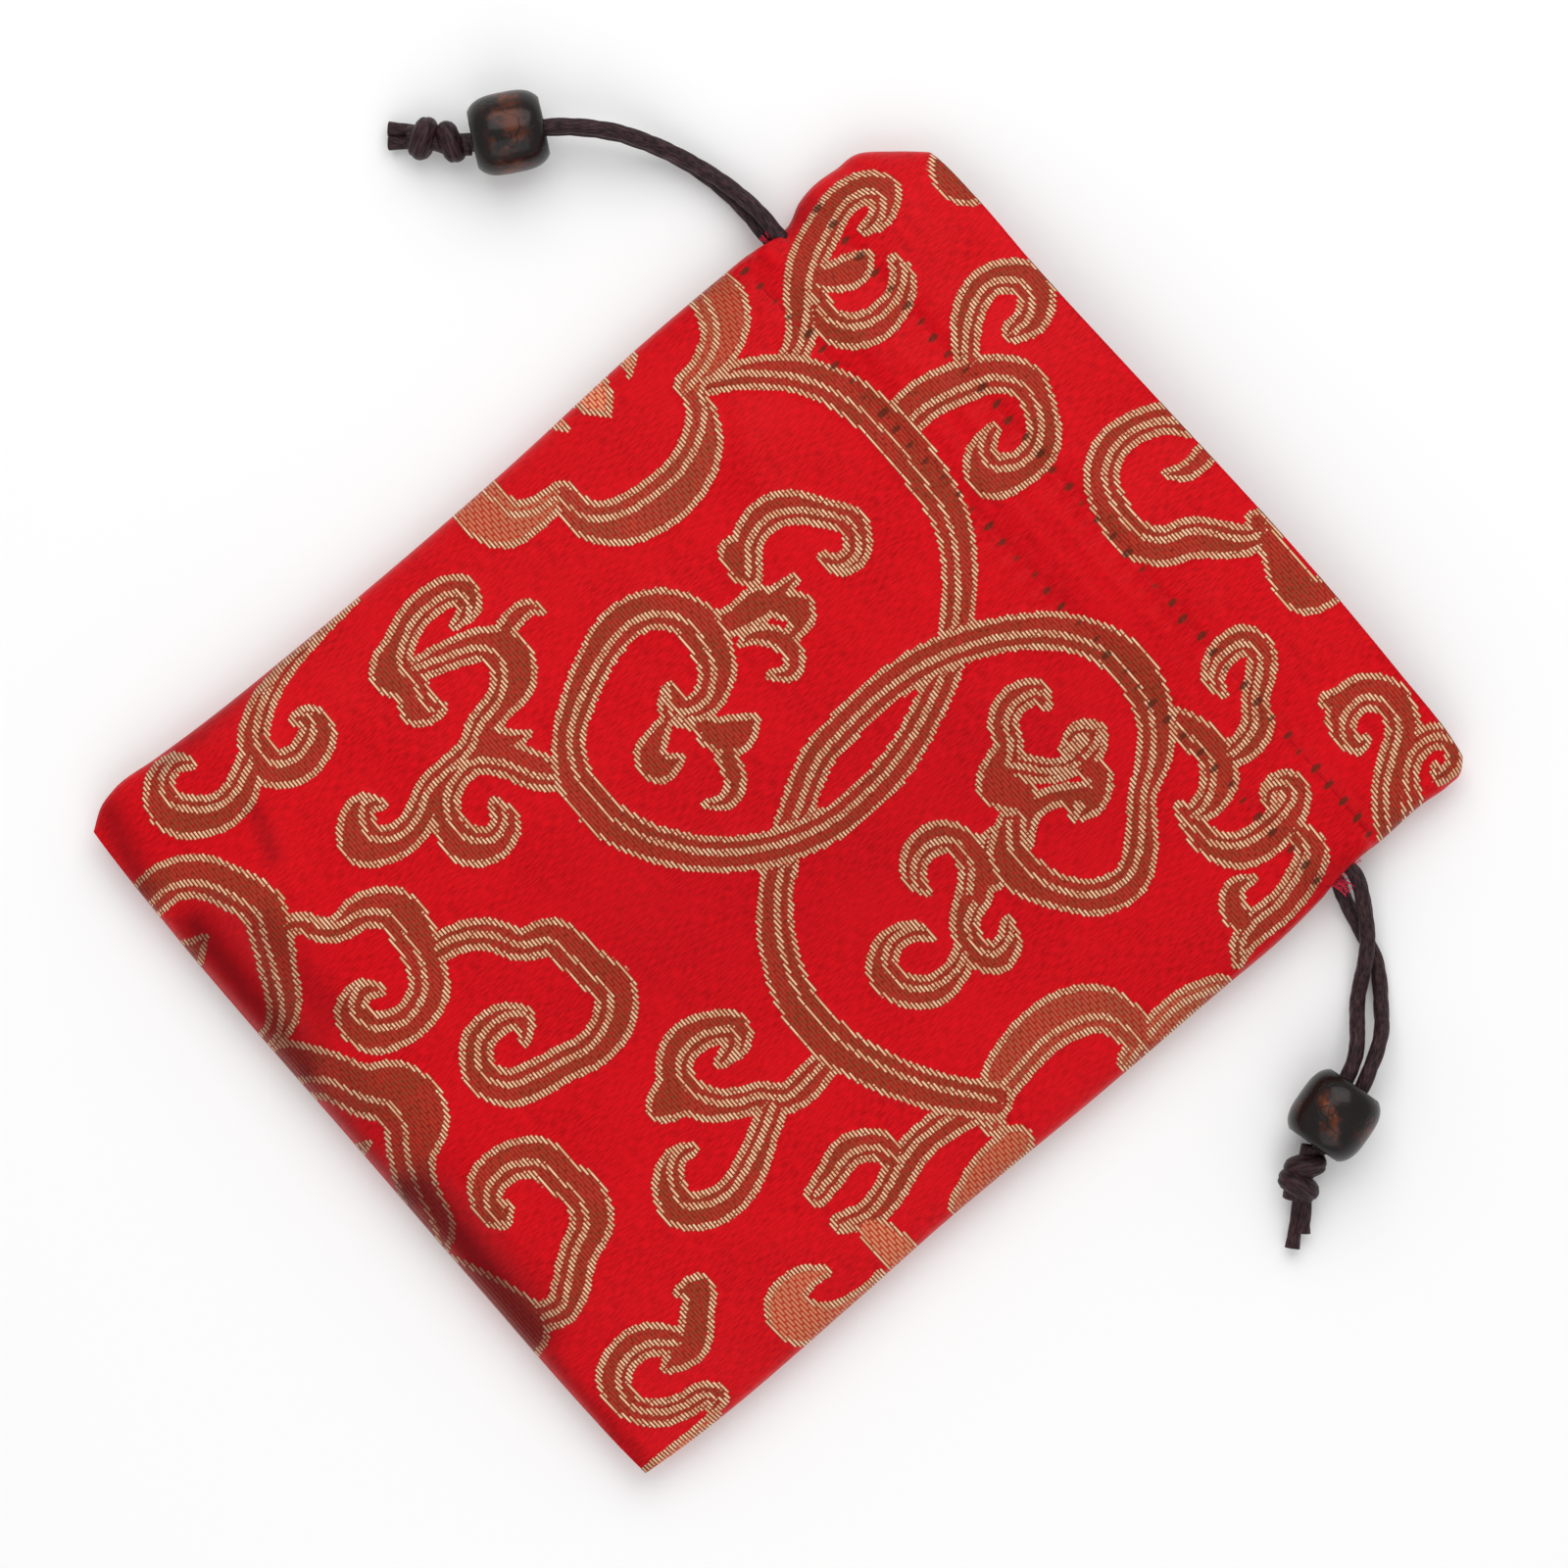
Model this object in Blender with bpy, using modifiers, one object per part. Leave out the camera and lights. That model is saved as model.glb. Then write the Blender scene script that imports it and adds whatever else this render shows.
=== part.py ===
"""A kinchaku drawstring pouch, lying empty on its back.

One rectangle of brocade is folded across the bottom and sewn up both sides. Its mouth is turned in
to make a deep hem, and two rows of stitches across the hem make a channel. Two cords run round the
channel. Each leaves it by a slit in a side seam, as two strands that pass through a wooden bead and
end in an overhand knot.

Frame: metres, +Z up, +Y from the bottom fold to the mouth, origin under the middle of the pouch.
"""

import math

import bmesh
import bpy
from mathutils import Matrix, Vector

MM = 0.001
WELD = 0.01 * MM

# The pouch, lying flat. It is thickest in the middle and tapers to the seams and to the fold.
HALF_WIDTH = 55.4 * MM
HALF_LENGTH = 70.0 * MM
CLOTH = 0.5 * MM
THICKEST = 12.6 * MM
MOUTH_THICKNESS = 9.6 * MM
SEAM_HEIGHT = 4.1 * MM
FOLD_RISE = 26.0 * MM
FOLD_RISE_BELOW = 9.0 * MM
CROWN = 2.5
FLAT_SHARE = 0.8
FOLD_CORNER = 5.0 * MM
SIDE_EASE = 9.0 * MM
STEEPEST = 1.8

# The hem, and the channel between its two rows of stitches, which slants a little across the pouch.
HEM_LENGTH = 33.0 * MM
HEM_INSET = 2 * CLOTH + 0.3 * MM
CHANNEL_MIDDLE = 48.0 * MM
CHANNEL_SLANT = 0.042
CHANNEL_HALF = 4.8 * MM
CHANNEL_EASE = 1.6 * MM
CORD = 2.0 * MM
GAP = 0.3 * MM
END_GAP = 0.5 * MM
CORD_INSET = CLOTH + GAP + CORD / 2
CHANNEL_INSET = 2 * (CLOTH + GAP) + CORD
CORDS_APART = 3.8 * MM
MOUTH_BAND = 14.0 * MM

# The slits: y from, y to. Their height leaves room for two strands, one above the other.
LEFT_SLIT = (43.6 * MM, 48.9 * MM)
RIGHT_SLIT = (45.2 * MM, 53.8 * MM)
SLIT_HALF_HEIGHT = 2.8 * MM
SLIT_DEPTH = 3.0 * MM
SLIT_CLEARANCE = 6.0 * MM
SLIT_LIFT = 0.1 * MM

# How finely the cloth is divided.
GIRTH_STEPS = 44
FOLD_STEPS = 7
BODY_STEPS = 9
MOUTH_STEPS = 4
HEM_STEPS = 3

# The beads, turned from wood and lying on their sides.
BEAD_RADIUS = 5.25 * MM
BEAD_HALF_LENGTH = 4.65 * MM
BORE_RADIUS = 2.6 * MM
BEAD_FACE_RADIUS = 3.7 * MM
BEAD_SQUARENESS = 0.62
BEAD_PROFILE_STEPS = 9
BEAD_TURN_STEPS = 28

# Each cord lies along an arc on the table. A route point is an angle round the arc's centre in
# degrees, how far it lies outside the arc, and its height, both in millimetres.
LEFT_ARC = (Vector((-57.6, 13.2, 0)) * MM, 33.0 * MM)
RIGHT_ARC = (Vector((48.3, 19.5, 0)) * MM, 30.0 * MM)
LEFT_BEAD_ANGLE = 151.1
RIGHT_BEAD_ANGLE = 14.4

LEFT_FRONT_ROUTE = [
    (86.4, 0.60, 5.25), (90.5, 0.55, 5.05), (96.0, 0.40, 4.10), (102.0, 0.25, 3.35),
    (109.0, 0.10, 3.35), (116.0, 0.05, 4.20), (122.5, 0.05, 5.55), (128.0, 0.10, 6.30),
    (136.0, 0.10, 6.40), (144.0, 0.05, 6.40), (152.0, 0.00, 6.40), (159.9, 0.00, 6.30),
]
LEFT_BACK_ROUTE = [
    (86.4, -0.60, 2.95), (90.5, -0.55, 2.60), (96.0, -0.40, 1.65), (102.0, -0.25, 1.02),
    (109.0, -0.10, 1.02), (116.0, -0.05, 1.90), (122.5, -0.05, 3.20), (128.0, 0.00, 3.95),
    (136.0, 0.00, 4.10), (144.0, 0.00, 4.10), (152.0, 0.00, 4.10), (159.9, 0.00, 4.15),
]
RIGHT_FRONT_ROUTE = [
    (75.9, 0.55, 5.25), (72.4, 0.50, 4.75), (66.2, 0.05, 3.75), (60.5, -0.35, 3.35),
    (55.0, -0.95, 3.15), (49.0, -1.60, 1.75), (43.8, -1.90, 1.40), (38.5, -1.75, 3.40),
    (33.5, -1.30, 4.90), (29.0, -0.98, 5.25), (23.0, -0.98, 5.25), (14.4, -0.98, 5.25),
    (5.4, -0.98, 5.20),
]
RIGHT_BACK_ROUTE = [
    (75.6, -1.65, 2.95), (71.8, -1.75, 2.35), (66.6, -1.40, 1.30), (61.2, -0.75, 1.02),
    (57.2, -0.05, 1.02), (53.0, 0.55, 1.02), (48.0, 0.90, 1.02), (43.5, 1.15, 1.30),
    (38.0, 1.50, 3.40), (33.5, 1.45, 4.90), (29.0, 1.33, 5.25), (23.0, 1.33, 5.25),
    (14.4, 1.33, 5.25), (5.4, 1.33, 5.20),
]
STRAND_STEP = 2.2 * CORD
LOOP_STEPS = 60
LOOP_START = 15.0

# The knots: middle, half sizes along and across the cord and upright, and the cord's heading.
LEFT_KNOT = (Vector((-91.85, 21.75, 3.35)) * MM, (3.9 * MM, 2.9 * MM, 2.85 * MM), 222.0)
RIGHT_KNOT = (Vector((80.6, 19.0, 3.35)) * MM, (3.2 * MM, 3.1 * MM, 2.85 * MM), 300.0)
KNOT_TURN_STEPS = 16
KNOT_RINGS = 10
LEFT_TAILS = [
    [(-93.6, 21.3, 2.6), (-95.6, 19.6, 1.9), (-97.2, 18.0, 1.4)],
    [(-93.0, 20.2, 2.6), (-94.5, 18.4, 1.8), (-95.9, 16.9, 1.25)],
]
RIGHT_TAILS = [
    [(81.4, 18.2, 2.6), (84.4, 15.0, 1.5), (87.1, 11.9, 1.15)],
    [(82.3, 18.8, 2.6), (84.9, 16.2, 1.9), (86.6, 14.3, 1.4)],
]

RED = (0.72, 0.012, 0.024)
BROWN_CORD = (0.030, 0.017, 0.019)
DARK_WOOD = (0.035, 0.014, 0.008)


def material(name, colour, roughness, metallic=0.0):
    made = bpy.data.materials.new(name)
    made.use_nodes = True
    shader = made.node_tree.nodes["Principled BSDF"]
    shader.inputs["Base Color"].default_value = (*colour, 1)
    shader.inputs["Roughness"].default_value = roughness
    shader.inputs["Metallic"].default_value = metallic
    made.diffuse_color = (*colour, 1)
    return made


def add(name, data, collection, finish):
    made = bpy.data.objects.new(name, data)
    collection.objects.link(made)
    if finish:
        data.materials.append(finish)
    return made


def ease(value, low, high):
    """0 below low, 1 above high, and smooth between."""
    share = min(1.0, max(0.0, (value - low) / (high - low)))
    return share * share * (3 - 2 * share)


def quarter(share):
    """The height of a quarter circle at this share of its run, 1 at its start and 0 at its end."""
    return math.sqrt(max(0.0, 1 - min(1.0, max(0.0, share)) ** 2))


def sunk(crown):
    """How much of an inset goes downward, so that layers stay apart where the crown is steep."""
    return min(STEEPEST * crown, math.sqrt(crown))


def cloth_point(turn, y, inset):
    """A point on the pouch's outside, or that far inside it.

    turn is 0 at the left seam, half a circle at the right one, and passes over the front first.
    """
    from_fold = y + HALF_LENGTH
    corner = FOLD_CORNER * (1 - quarter(1 - from_fold / FOLD_CORNER))
    half = HALF_WIDTH - inset * (1 + inset / SIDE_EASE) - corner
    across = -math.cos(turn)
    crown = math.sqrt(max(0.0, 1 - abs(across) ** CROWN))
    base = quarter((abs(across) - FLAT_SHARE) / (1 - FLAT_SHARE))
    thickness = THICKEST + (MOUTH_THICKNESS - THICKEST) * ease(y, HALF_LENGTH - MOUTH_BAND, HALF_LENGTH)
    if math.sin(turn) >= 0:
        rise = quarter(1 - from_fold / FOLD_RISE)
        z = SEAM_HEIGHT + ((thickness - SEAM_HEIGHT) * crown - inset * sunk(crown)) * rise
    else:
        drop = quarter(1 - from_fold / FOLD_RISE_BELOW)
        z = SEAM_HEIGHT - (SEAM_HEIGHT - inset) * base * drop
    return Vector((half * across, y, z))


def channel_middle(x):
    return CHANNEL_MIDDLE + CHANNEL_SLANT * x


def stations():
    """The rings that the cloth runs through, as (y, inset, slant), from the fold to the hem's end."""
    rings = []
    for i in range(FOLD_STEPS):
        lean = math.pi / 2 * i / FOLD_STEPS
        rings.append((-HALF_LENGTH + FOLD_RISE * (1 - math.cos(lean)), 0, 0))
    start, end = -HALF_LENGTH + FOLD_RISE, HALF_LENGTH - MOUTH_BAND
    for i in range(BODY_STEPS + 1):
        rings.append((start + (end - start) * i / BODY_STEPS, 0, 0))
    for i in range(1, HEM_STEPS + 1):
        rings.append((end + (MOUTH_BAND - HEM_INSET) * i / HEM_STEPS, 0, 0))
    for i in range(1, MOUTH_STEPS + 1):
        lean = math.pi * i / MOUTH_STEPS
        y = HALF_LENGTH - HEM_INSET + HEM_INSET * math.sin(lean)
        rings.append((y, HEM_INSET / 2 * (1 - math.cos(lean)), 0))
    upper, lower = CHANNEL_MIDDLE + CHANNEL_HALF, CHANNEL_MIDDLE - CHANNEL_HALF
    rings.append((upper + 2 * CHANNEL_EASE, HEM_INSET, CHANNEL_SLANT))
    rings.append((upper, HEM_INSET, CHANNEL_SLANT))
    rings.append((upper - CHANNEL_EASE, CHANNEL_INSET, CHANNEL_SLANT))
    rings.append((CHANNEL_MIDDLE, CHANNEL_INSET, CHANNEL_SLANT))
    rings.append((lower + CHANNEL_EASE, CHANNEL_INSET, CHANNEL_SLANT))
    rings.append((lower, HEM_INSET, CHANNEL_SLANT))
    rings.append((HALF_LENGTH - HEM_LENGTH, HEM_INSET, CHANNEL_SLANT))
    return rings


def slit_cutter(name, side, span, collection):
    """A box that opens a side seam between two places along it."""
    mesh = bpy.data.meshes.new(name)
    shape = bmesh.new()
    inner = HALF_WIDTH - SLIT_DEPTH
    size = (SLIT_DEPTH + SLIT_CLEARANCE, span[1] - span[0], 2 * SLIT_HALF_HEIGHT)
    bmesh.ops.create_cube(shape, size=1.0, matrix=Matrix.Diagonal((*size, 1)))
    shape.to_mesh(mesh)
    shape.free()
    cutter = add(name, mesh, collection, None)
    cutter.location = (side * (inner + size[0] / 2), (span[0] + span[1]) / 2, SEAM_HEIGHT + SLIT_LIFT)
    cutter.hide_render = True
    cutter.display_type = "WIRE"
    return cutter


def pouch_cloth(collection, cutters, finish):
    rings = stations()
    shape = bmesh.new()
    bmesh.ops.create_grid(shape, x_segments=GIRTH_STEPS, y_segments=len(rings) - 1, size=0.5)
    for vertex in shape.verts:
        turn = 2 * math.pi * (0.5 - vertex.co.x)
        y, inset, slant = rings[round((vertex.co.y + 0.5) * (len(rings) - 1))]
        across = -math.cos(turn) * HALF_WIDTH
        vertex.co = cloth_point(turn, y + slant * across, inset)
    bmesh.ops.remove_doubles(shape, verts=shape.verts, dist=WELD)
    bmesh.ops.recalc_face_normals(shape, faces=shape.faces)
    mesh = bpy.data.meshes.new("pouch_cloth")
    shape.to_mesh(mesh)
    shape.free()
    mesh.shade_smooth()
    pouch = add("pouch_cloth", mesh, collection, finish)
    thicken = pouch.modifiers.new("cloth", "SOLIDIFY")
    thicken.thickness = CLOTH
    thicken.offset = -1
    for name, side, span in (("left_slit", -1, LEFT_SLIT), ("right_slit", 1, RIGHT_SLIT)):
        cut = pouch.modifiers.new(name, "BOOLEAN")
        cut.operation = "DIFFERENCE"
        cut.object = slit_cutter(name + "_cutter", side, span, cutters)
    return pouch


def smooth_curve(points, step):
    """Points a step apart, or a little less, on a Catmull-Rom curve through the given ones."""
    ends = [2 * points[0] - points[1], *points, 2 * points[-1] - points[-2]]
    made = [points[0]]
    for before, start, end, after in zip(ends, ends[1:], ends[2:], ends[3:]):
        count = max(1, math.ceil((end - start).length / step))
        for i in range(1, count + 1):
            t = i / count
            made.append(0.5 * (2 * start + (end - before) * t
                               + (2 * before - 5 * start + 4 * end - after) * t * t
                               + (3 * start - before - 3 * end + after) * t ** 3))
    return made


def tube(name, points, radius, collection, finish):
    curve = bpy.data.curves.new(name, "CURVE")
    curve.dimensions = "3D"
    curve.bevel_depth = radius
    curve.bevel_resolution = 2
    curve.use_fill_caps = True
    line = curve.splines.new("POLY")
    line.points.add(len(points) - 1)
    for place, point in zip(line.points, points):
        place.co = (*point, 1)
    return add(name, curve, collection, finish)


def route_point(arc, angle, outside, height):
    centre, radius = arc
    turn = math.radians(angle)
    away = radius + outside * MM
    return centre + Vector((away * math.cos(turn), away * math.sin(turn), height * MM))


def strand(name, arc, route, collection, finish):
    points = [route_point(arc, *place) for place in route]
    return tube(name, smooth_curve(points, STRAND_STEP), CORD / 2, collection, finish)


def channel_loop(name, side, strands, collection, finish):
    """A cord's held part: over the front in the channel, round the far seam and back underneath.

    side is -1 for the cord that leaves at the left, and strands are where its free strands start.
    """
    shift = -side * CORDS_APART / 2
    first = math.radians(LOOP_START)
    inward = Vector((-side, 0, 0))
    points = [strands[0] + inward * END_GAP, strands[0] + inward * (END_GAP + CORD / 2)]
    for i in range(LOOP_STEPS + 1):
        swept = first + (2 * math.pi - 2 * first) * i / LOOP_STEPS
        turn = swept if side < 0 else math.pi - swept
        across = -math.cos(turn) * (HALF_WIDTH - CORD_INSET)
        points.append(cloth_point(turn, channel_middle(across) + shift, CORD_INSET))
    points += [strands[1] + inward * (END_GAP + CORD / 2), strands[1] + inward * END_GAP]
    return tube(name, points, CORD / 2, collection, finish)


def bead(name, arc, angle, collection, finish):
    """A barrel-shaped bead with a straight bore along the arc. It slides by turning about a pivot."""
    rim = math.acos((BEAD_FACE_RADIUS / BEAD_RADIUS) ** (1 / BEAD_SQUARENESS))
    outline = []
    for i in range(BEAD_PROFILE_STEPS):
        lean = rim * (1 - 2 * i / (BEAD_PROFILE_STEPS - 1))
        share = abs(math.sin(lean) / math.sin(rim)) ** BEAD_SQUARENESS
        outline.append((BEAD_RADIUS * math.cos(lean) ** BEAD_SQUARENESS,
                        math.copysign(BEAD_HALF_LENGTH * share, lean)))
    outline += [(BORE_RADIUS, -BEAD_HALF_LENGTH), (BORE_RADIUS, BEAD_HALF_LENGTH)]
    mesh = bpy.data.meshes.new(name)
    count = len(outline)
    edges = [(i, (i + 1) % count) for i in range(count)]
    mesh.from_pydata([(r, 0, z) for r, z in outline], edges, [])
    made = add(name, mesh, collection, finish)
    turning = made.modifiers.new("turning", "SCREW")
    turning.steps = turning.render_steps = BEAD_TURN_STEPS
    turning.use_merge_vertices = True
    turning.merge_threshold = WELD
    turning.use_smooth_shade = True
    pivot = add(name + "_pivot", None, collection, None)
    pivot.location = arc[0]
    made.parent = pivot
    made.rotation_euler = (0, math.pi / 2, math.radians(angle + 90))
    made.location = route_point(arc, angle, 0, BEAD_RADIUS / MM) - arc[0]
    return made


def solid_from(curve_object, collection, finish):
    """The curve's tube as a mesh object with welded caps, in place of the curve."""
    graph = bpy.context.evaluated_depsgraph_get()
    mesh = bpy.data.meshes.new_from_object(curve_object.evaluated_get(graph))
    shape = bmesh.new()
    shape.from_mesh(mesh)
    bmesh.ops.remove_doubles(shape, verts=shape.verts, dist=WELD)
    shape.to_mesh(mesh)
    shape.free()
    made = add(curve_object.name + "_solid", mesh, collection, finish)
    made.matrix_world = curve_object.matrix_world
    bpy.data.objects.remove(curve_object)
    made.hide_render = True
    made.display_type = "WIRE"
    return made


def knot(name, place, tails, collection, helpers, finish):
    """The outer shape of an overhand knot of both strands, with the two cut tails joined on."""
    middle, half_sizes, heading = place
    shape = bmesh.new()
    bmesh.ops.create_uvsphere(shape, u_segments=KNOT_TURN_STEPS, v_segments=KNOT_RINGS, radius=1.0)
    mesh = bpy.data.meshes.new(name)
    shape.transform(Matrix.Diagonal((*half_sizes, 1)))
    shape.to_mesh(mesh)
    shape.free()
    mesh.shade_smooth()
    made = add(name, mesh, collection, finish)
    made.location = middle
    made.rotation_euler = (0, 0, math.radians(heading))
    for number, points in enumerate(tails):
        route = smooth_curve([Vector(point) * MM for point in points], STRAND_STEP / 2)
        tail = tube(f"{name}_tail_{number}", route, CORD / 2, helpers, finish)
        bpy.context.view_layer.update()
        join = made.modifiers.new(f"tail_{number}", "BOOLEAN")
        join.operation = "UNION"
        join.object = solid_from(tail, helpers, finish)
    return made


def side_cord(side, arc, routes, bead_angle, knot_place, tails, collection, helpers, finishes):
    """Everything at one side: the held loop, two free strands, a bead and a knot."""
    cord_finish, wood_finish = finishes
    front, back = routes
    starts = [route_point(arc, *route[0]) for route in routes]
    channel_loop(f"{side}_cord_in_channel", -1 if side == "left" else 1, starts, collection, cord_finish)
    strand(f"{side}_cord_front_strand", arc, front, collection, cord_finish)
    strand(f"{side}_cord_back_strand", arc, back, collection, cord_finish)
    bead(f"{side}_bead", arc, bead_angle, collection, wood_finish)
    knot(f"{side}_knot", knot_place, tails, collection, helpers, cord_finish)


def build():
    for old in list(bpy.data.objects):
        bpy.data.objects.remove(old)
    collection = bpy.data.collections.new("drawstring_pouch")
    helpers = bpy.data.collections.new("cutters")
    for made in (collection, helpers):
        bpy.context.scene.collection.children.link(made)
    brocade = material("brocade", RED, 0.45)
    cord = material("satin_cord", BROWN_CORD, 0.5)
    wood = material("lacquered_wood", DARK_WOOD, 0.2)
    pouch_cloth(collection, helpers, brocade)
    finishes = (cord, wood)
    side_cord("left", LEFT_ARC, (LEFT_FRONT_ROUTE, LEFT_BACK_ROUTE), LEFT_BEAD_ANGLE,
              LEFT_KNOT, LEFT_TAILS, collection, helpers, finishes)
    side_cord("right", RIGHT_ARC, (RIGHT_FRONT_ROUTE, RIGHT_BACK_ROUTE), RIGHT_BEAD_ANGLE,
              RIGHT_KNOT, RIGHT_TAILS, collection, helpers, finishes)


build()
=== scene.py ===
"""The looks of a kinchaku drawstring pouch: brocade, braided cords, lacquered beads and knots.

Lengths are in millimetres unless a name says otherwise, and become metres as each mesh is made.
"""

import math

import bpy
import numpy as np
from mathutils import Matrix, Vector


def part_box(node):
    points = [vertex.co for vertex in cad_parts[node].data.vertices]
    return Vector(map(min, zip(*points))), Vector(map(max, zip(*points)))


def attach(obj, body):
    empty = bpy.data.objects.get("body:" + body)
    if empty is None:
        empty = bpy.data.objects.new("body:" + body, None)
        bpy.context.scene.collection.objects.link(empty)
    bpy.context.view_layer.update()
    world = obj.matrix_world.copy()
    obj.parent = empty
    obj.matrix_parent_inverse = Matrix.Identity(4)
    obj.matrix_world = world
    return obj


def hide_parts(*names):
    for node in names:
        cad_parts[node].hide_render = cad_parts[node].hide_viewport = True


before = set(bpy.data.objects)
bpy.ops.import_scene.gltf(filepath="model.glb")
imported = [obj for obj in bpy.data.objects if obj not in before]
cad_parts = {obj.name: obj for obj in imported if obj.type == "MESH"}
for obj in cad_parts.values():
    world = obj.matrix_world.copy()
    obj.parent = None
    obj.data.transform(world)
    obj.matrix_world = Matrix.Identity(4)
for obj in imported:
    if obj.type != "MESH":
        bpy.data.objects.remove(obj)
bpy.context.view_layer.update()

MM = 0.001
CLOTH_LOW, CLOTH_HIGH = (np.array(corner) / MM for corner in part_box("pouch_cloth"))

# The pouch's section, as it lies.
HALF_WIDTH = (CLOTH_HIGH[0] - CLOTH_LOW[0]) / 2
HALF_LENGTH = (CLOTH_HIGH[1] - CLOTH_LOW[1]) / 2
THICKEST = CLOTH_HIGH[2] - 0.3
MOUTH_THICKNESS = 9.4
SEAM_HEIGHT = 4.1
FOLD_RISE = 26.0
FOLD_RISE_BELOW = 9.0
CROWN = 2.5
FLAT_SHARE = 0.8

# The weave.
ROW = 0.45
COLUMN = 0.4
FLOAT_ACROSS = 0.78
UV_UNIT = 100

# The hem and its stitches.
HEM_LENGTH = 33.0
HEM_DROP = 1.3
CHANNEL_DROP = 3.6
CHANNEL_MIDDLE = 47.8
CHANNEL_SLANT = 0.042
LOWER_STITCHES = 42.7
UPPER_STITCHES = 53.3
MOUTH_BAND = 14.0
STITCH = 2.8
LOWER_SLANT = 0.040
UPPER_SLANT = 0.012
GROOVE = 0.55
PUCKER = 0.16
CORD_RIDGE = 0.35
CORDS_APART = 1.9
FRILL = 0.3
HEM_TOP = 69.2
HEM_TURN = 0.6
HEM_ROWS = 56
HEM_NARROWER = 0.9

# How the panels' grids meet the outline, and how far things stand out of them.
COLUMN_EASE = 0.14
TABLE_END = 70  # where the outline's tables take the mouth and the fold to be
END_BLEND = 20
BACK_SHOWS = 0.45
SLIT_NOTCH = 0.3
SLIT_LIFT = 2.3
SLIT_FALL = 26
FIGURE_RISE = 0.08
FLOAT_RISE = 0.10
BACK_SHARE = 0.3
ABOVE_TABLE = 0.02
CREASE_RISE = 1.5
DEEPEST_SHADE = 0.85

# The cloth's outline: (y, x) up each side, and (x, y) along each end. A slit is its middle and half height.
LEFT_EDGE = [(-70, -53.6), (-67.5, -55.3), (-64.7, -56.0), (-57.8, -55.5), (-51, -55.0), (-34, -54.4),
             (0, -54.2), (27, -55.0), (37, -54.9), (45, -54.7), (50.5, -54.2), (54, -55.5), (58, -56.0),
             (61, -55.7), (65, -55.1), (67.5, -52.5), (70, -49.6)]
RIGHT_EDGE = [(-70, 54.6), (-66, 55.0), (-34, 55.5), (-20, 55.3), (5, 55.8), (27, 55.9), (37, 56.0),
              (44, 55.5), (49, 54.9), (56, 54.8), (62, 54.7), (66.5, 55.1), (68.8, 54.8), (70, 53.6)]
MOUTH_EDGE = [(-56, 66.4), (-50, 68.2), (-41, 68.8), (-30, 68.7), (0, 69.6), (20, 70.2), (40, 70.0),
              (50, 69.8), (55, 69.2)]
FOLD_EDGE = [(-56, -69.2), (-50, -69.6), (-41, -70.0), (0, -70.2), (22, -70.2), (50, -69.8), (56, -69.4)]
LEFT_SLIT = (46.2, 2.6)
RIGHT_SLIT = (49.4, 4.4)

# Soft creases in the front: from, to, half width and height.
CREASES = [
    ((-46, 30), (-30, 24), 3.0, 0.35), ((-50, -50), (-30, -58), 4.0, 0.6),
    ((-56, -40), (-44, -48), 3.5, 0.4), ((-36, -66), (-14, -67.5), 2.6, -0.9),
    ((-40, -60), (-18, -62.5), 3.5, 0.5), ((8, -67), (30, -68), 2.4, -0.7),
    ((12, -62), (30, -62.5), 3.2, 0.45),
    ((-52, 60), (-38, 63), 3.5, 0.35), ((20, 57), (42, 62), 4.0, 0.3), ((-28, -30), (-44, -36), 5.0, 0.3),
    ((8, 14), (30, 8), 6.0, 0.25), ((-20, -24), (4, -27), 6.0, 0.25), ((34, -36), (48, -50), 5.0, 0.3),
    ((-10, 47), (18, 50), 3.0, 0.35), ((-48, 45), (-30, 47.5), 2.0, 0.4), ((36, 45), (52, 48), 2.0, 0.35),
]

# Shade painted into the front's colour, where the cloth lies in shade: from, to, half width and depth.
PAINTED_SHADE = [
    ((-36, -67.3), (-14, -68.4), 2.4, 0.6), ((-54, -66), (-44, -69), 2.0, 0.5),
    ((8, -67.6), (32, -68.4), 2.6, 0.7), ((-30, -60), (-16, -60.6), 2.4, 0.35),
    ((36, -69), (54, -69), 1.2, 0.4), ((-12, -69), (8, -69.4), 1.2, 0.4),
    ((2, -22), (20, 26), 19.0, 0.13), ((-34, -66), (30, -66.5), 4.0, 0.22),
    ((-42, -51.5), (-36, -53.5), 1.2, 0.4), ((-55, -30), (-54, -58), 1.4, 0.35),
    ((-54.4, 52), (-54.4, 48), 1.6, 0.35), ((53, 44), (54, 50), 1.6, 0.3),
]


def smoothstep(value, low, high):
    share = np.clip((value - low) / (high - low), 0, 1)
    return share * share * (3 - 2 * share)


def quarter(share):
    """A quarter circle's height at this share of its run: 1 at its start and 0 at its end."""
    return np.sqrt(np.maximum(0, 1 - np.clip(share, 0, 1) ** 2))


def along(table, value):
    """Reads a smooth curve through a table of (value, result) pairs."""
    keys, results = np.array(table, float).T
    slopes = np.gradient(results, keys)
    place = np.clip(np.searchsorted(keys, value) - 1, 0, len(keys) - 2)
    gap = keys[place + 1] - keys[place]
    t = np.clip((value - keys[place]) / gap, 0, 1)
    before, after = results[place], results[place + 1]
    return ((2 * t ** 3 - 3 * t ** 2 + 1) * before + (t ** 3 - 2 * t ** 2 + t) * gap * slopes[place]
            + (3 * t ** 2 - 2 * t ** 3) * after + (t ** 3 - t ** 2) * gap * slopes[place + 1])


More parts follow.
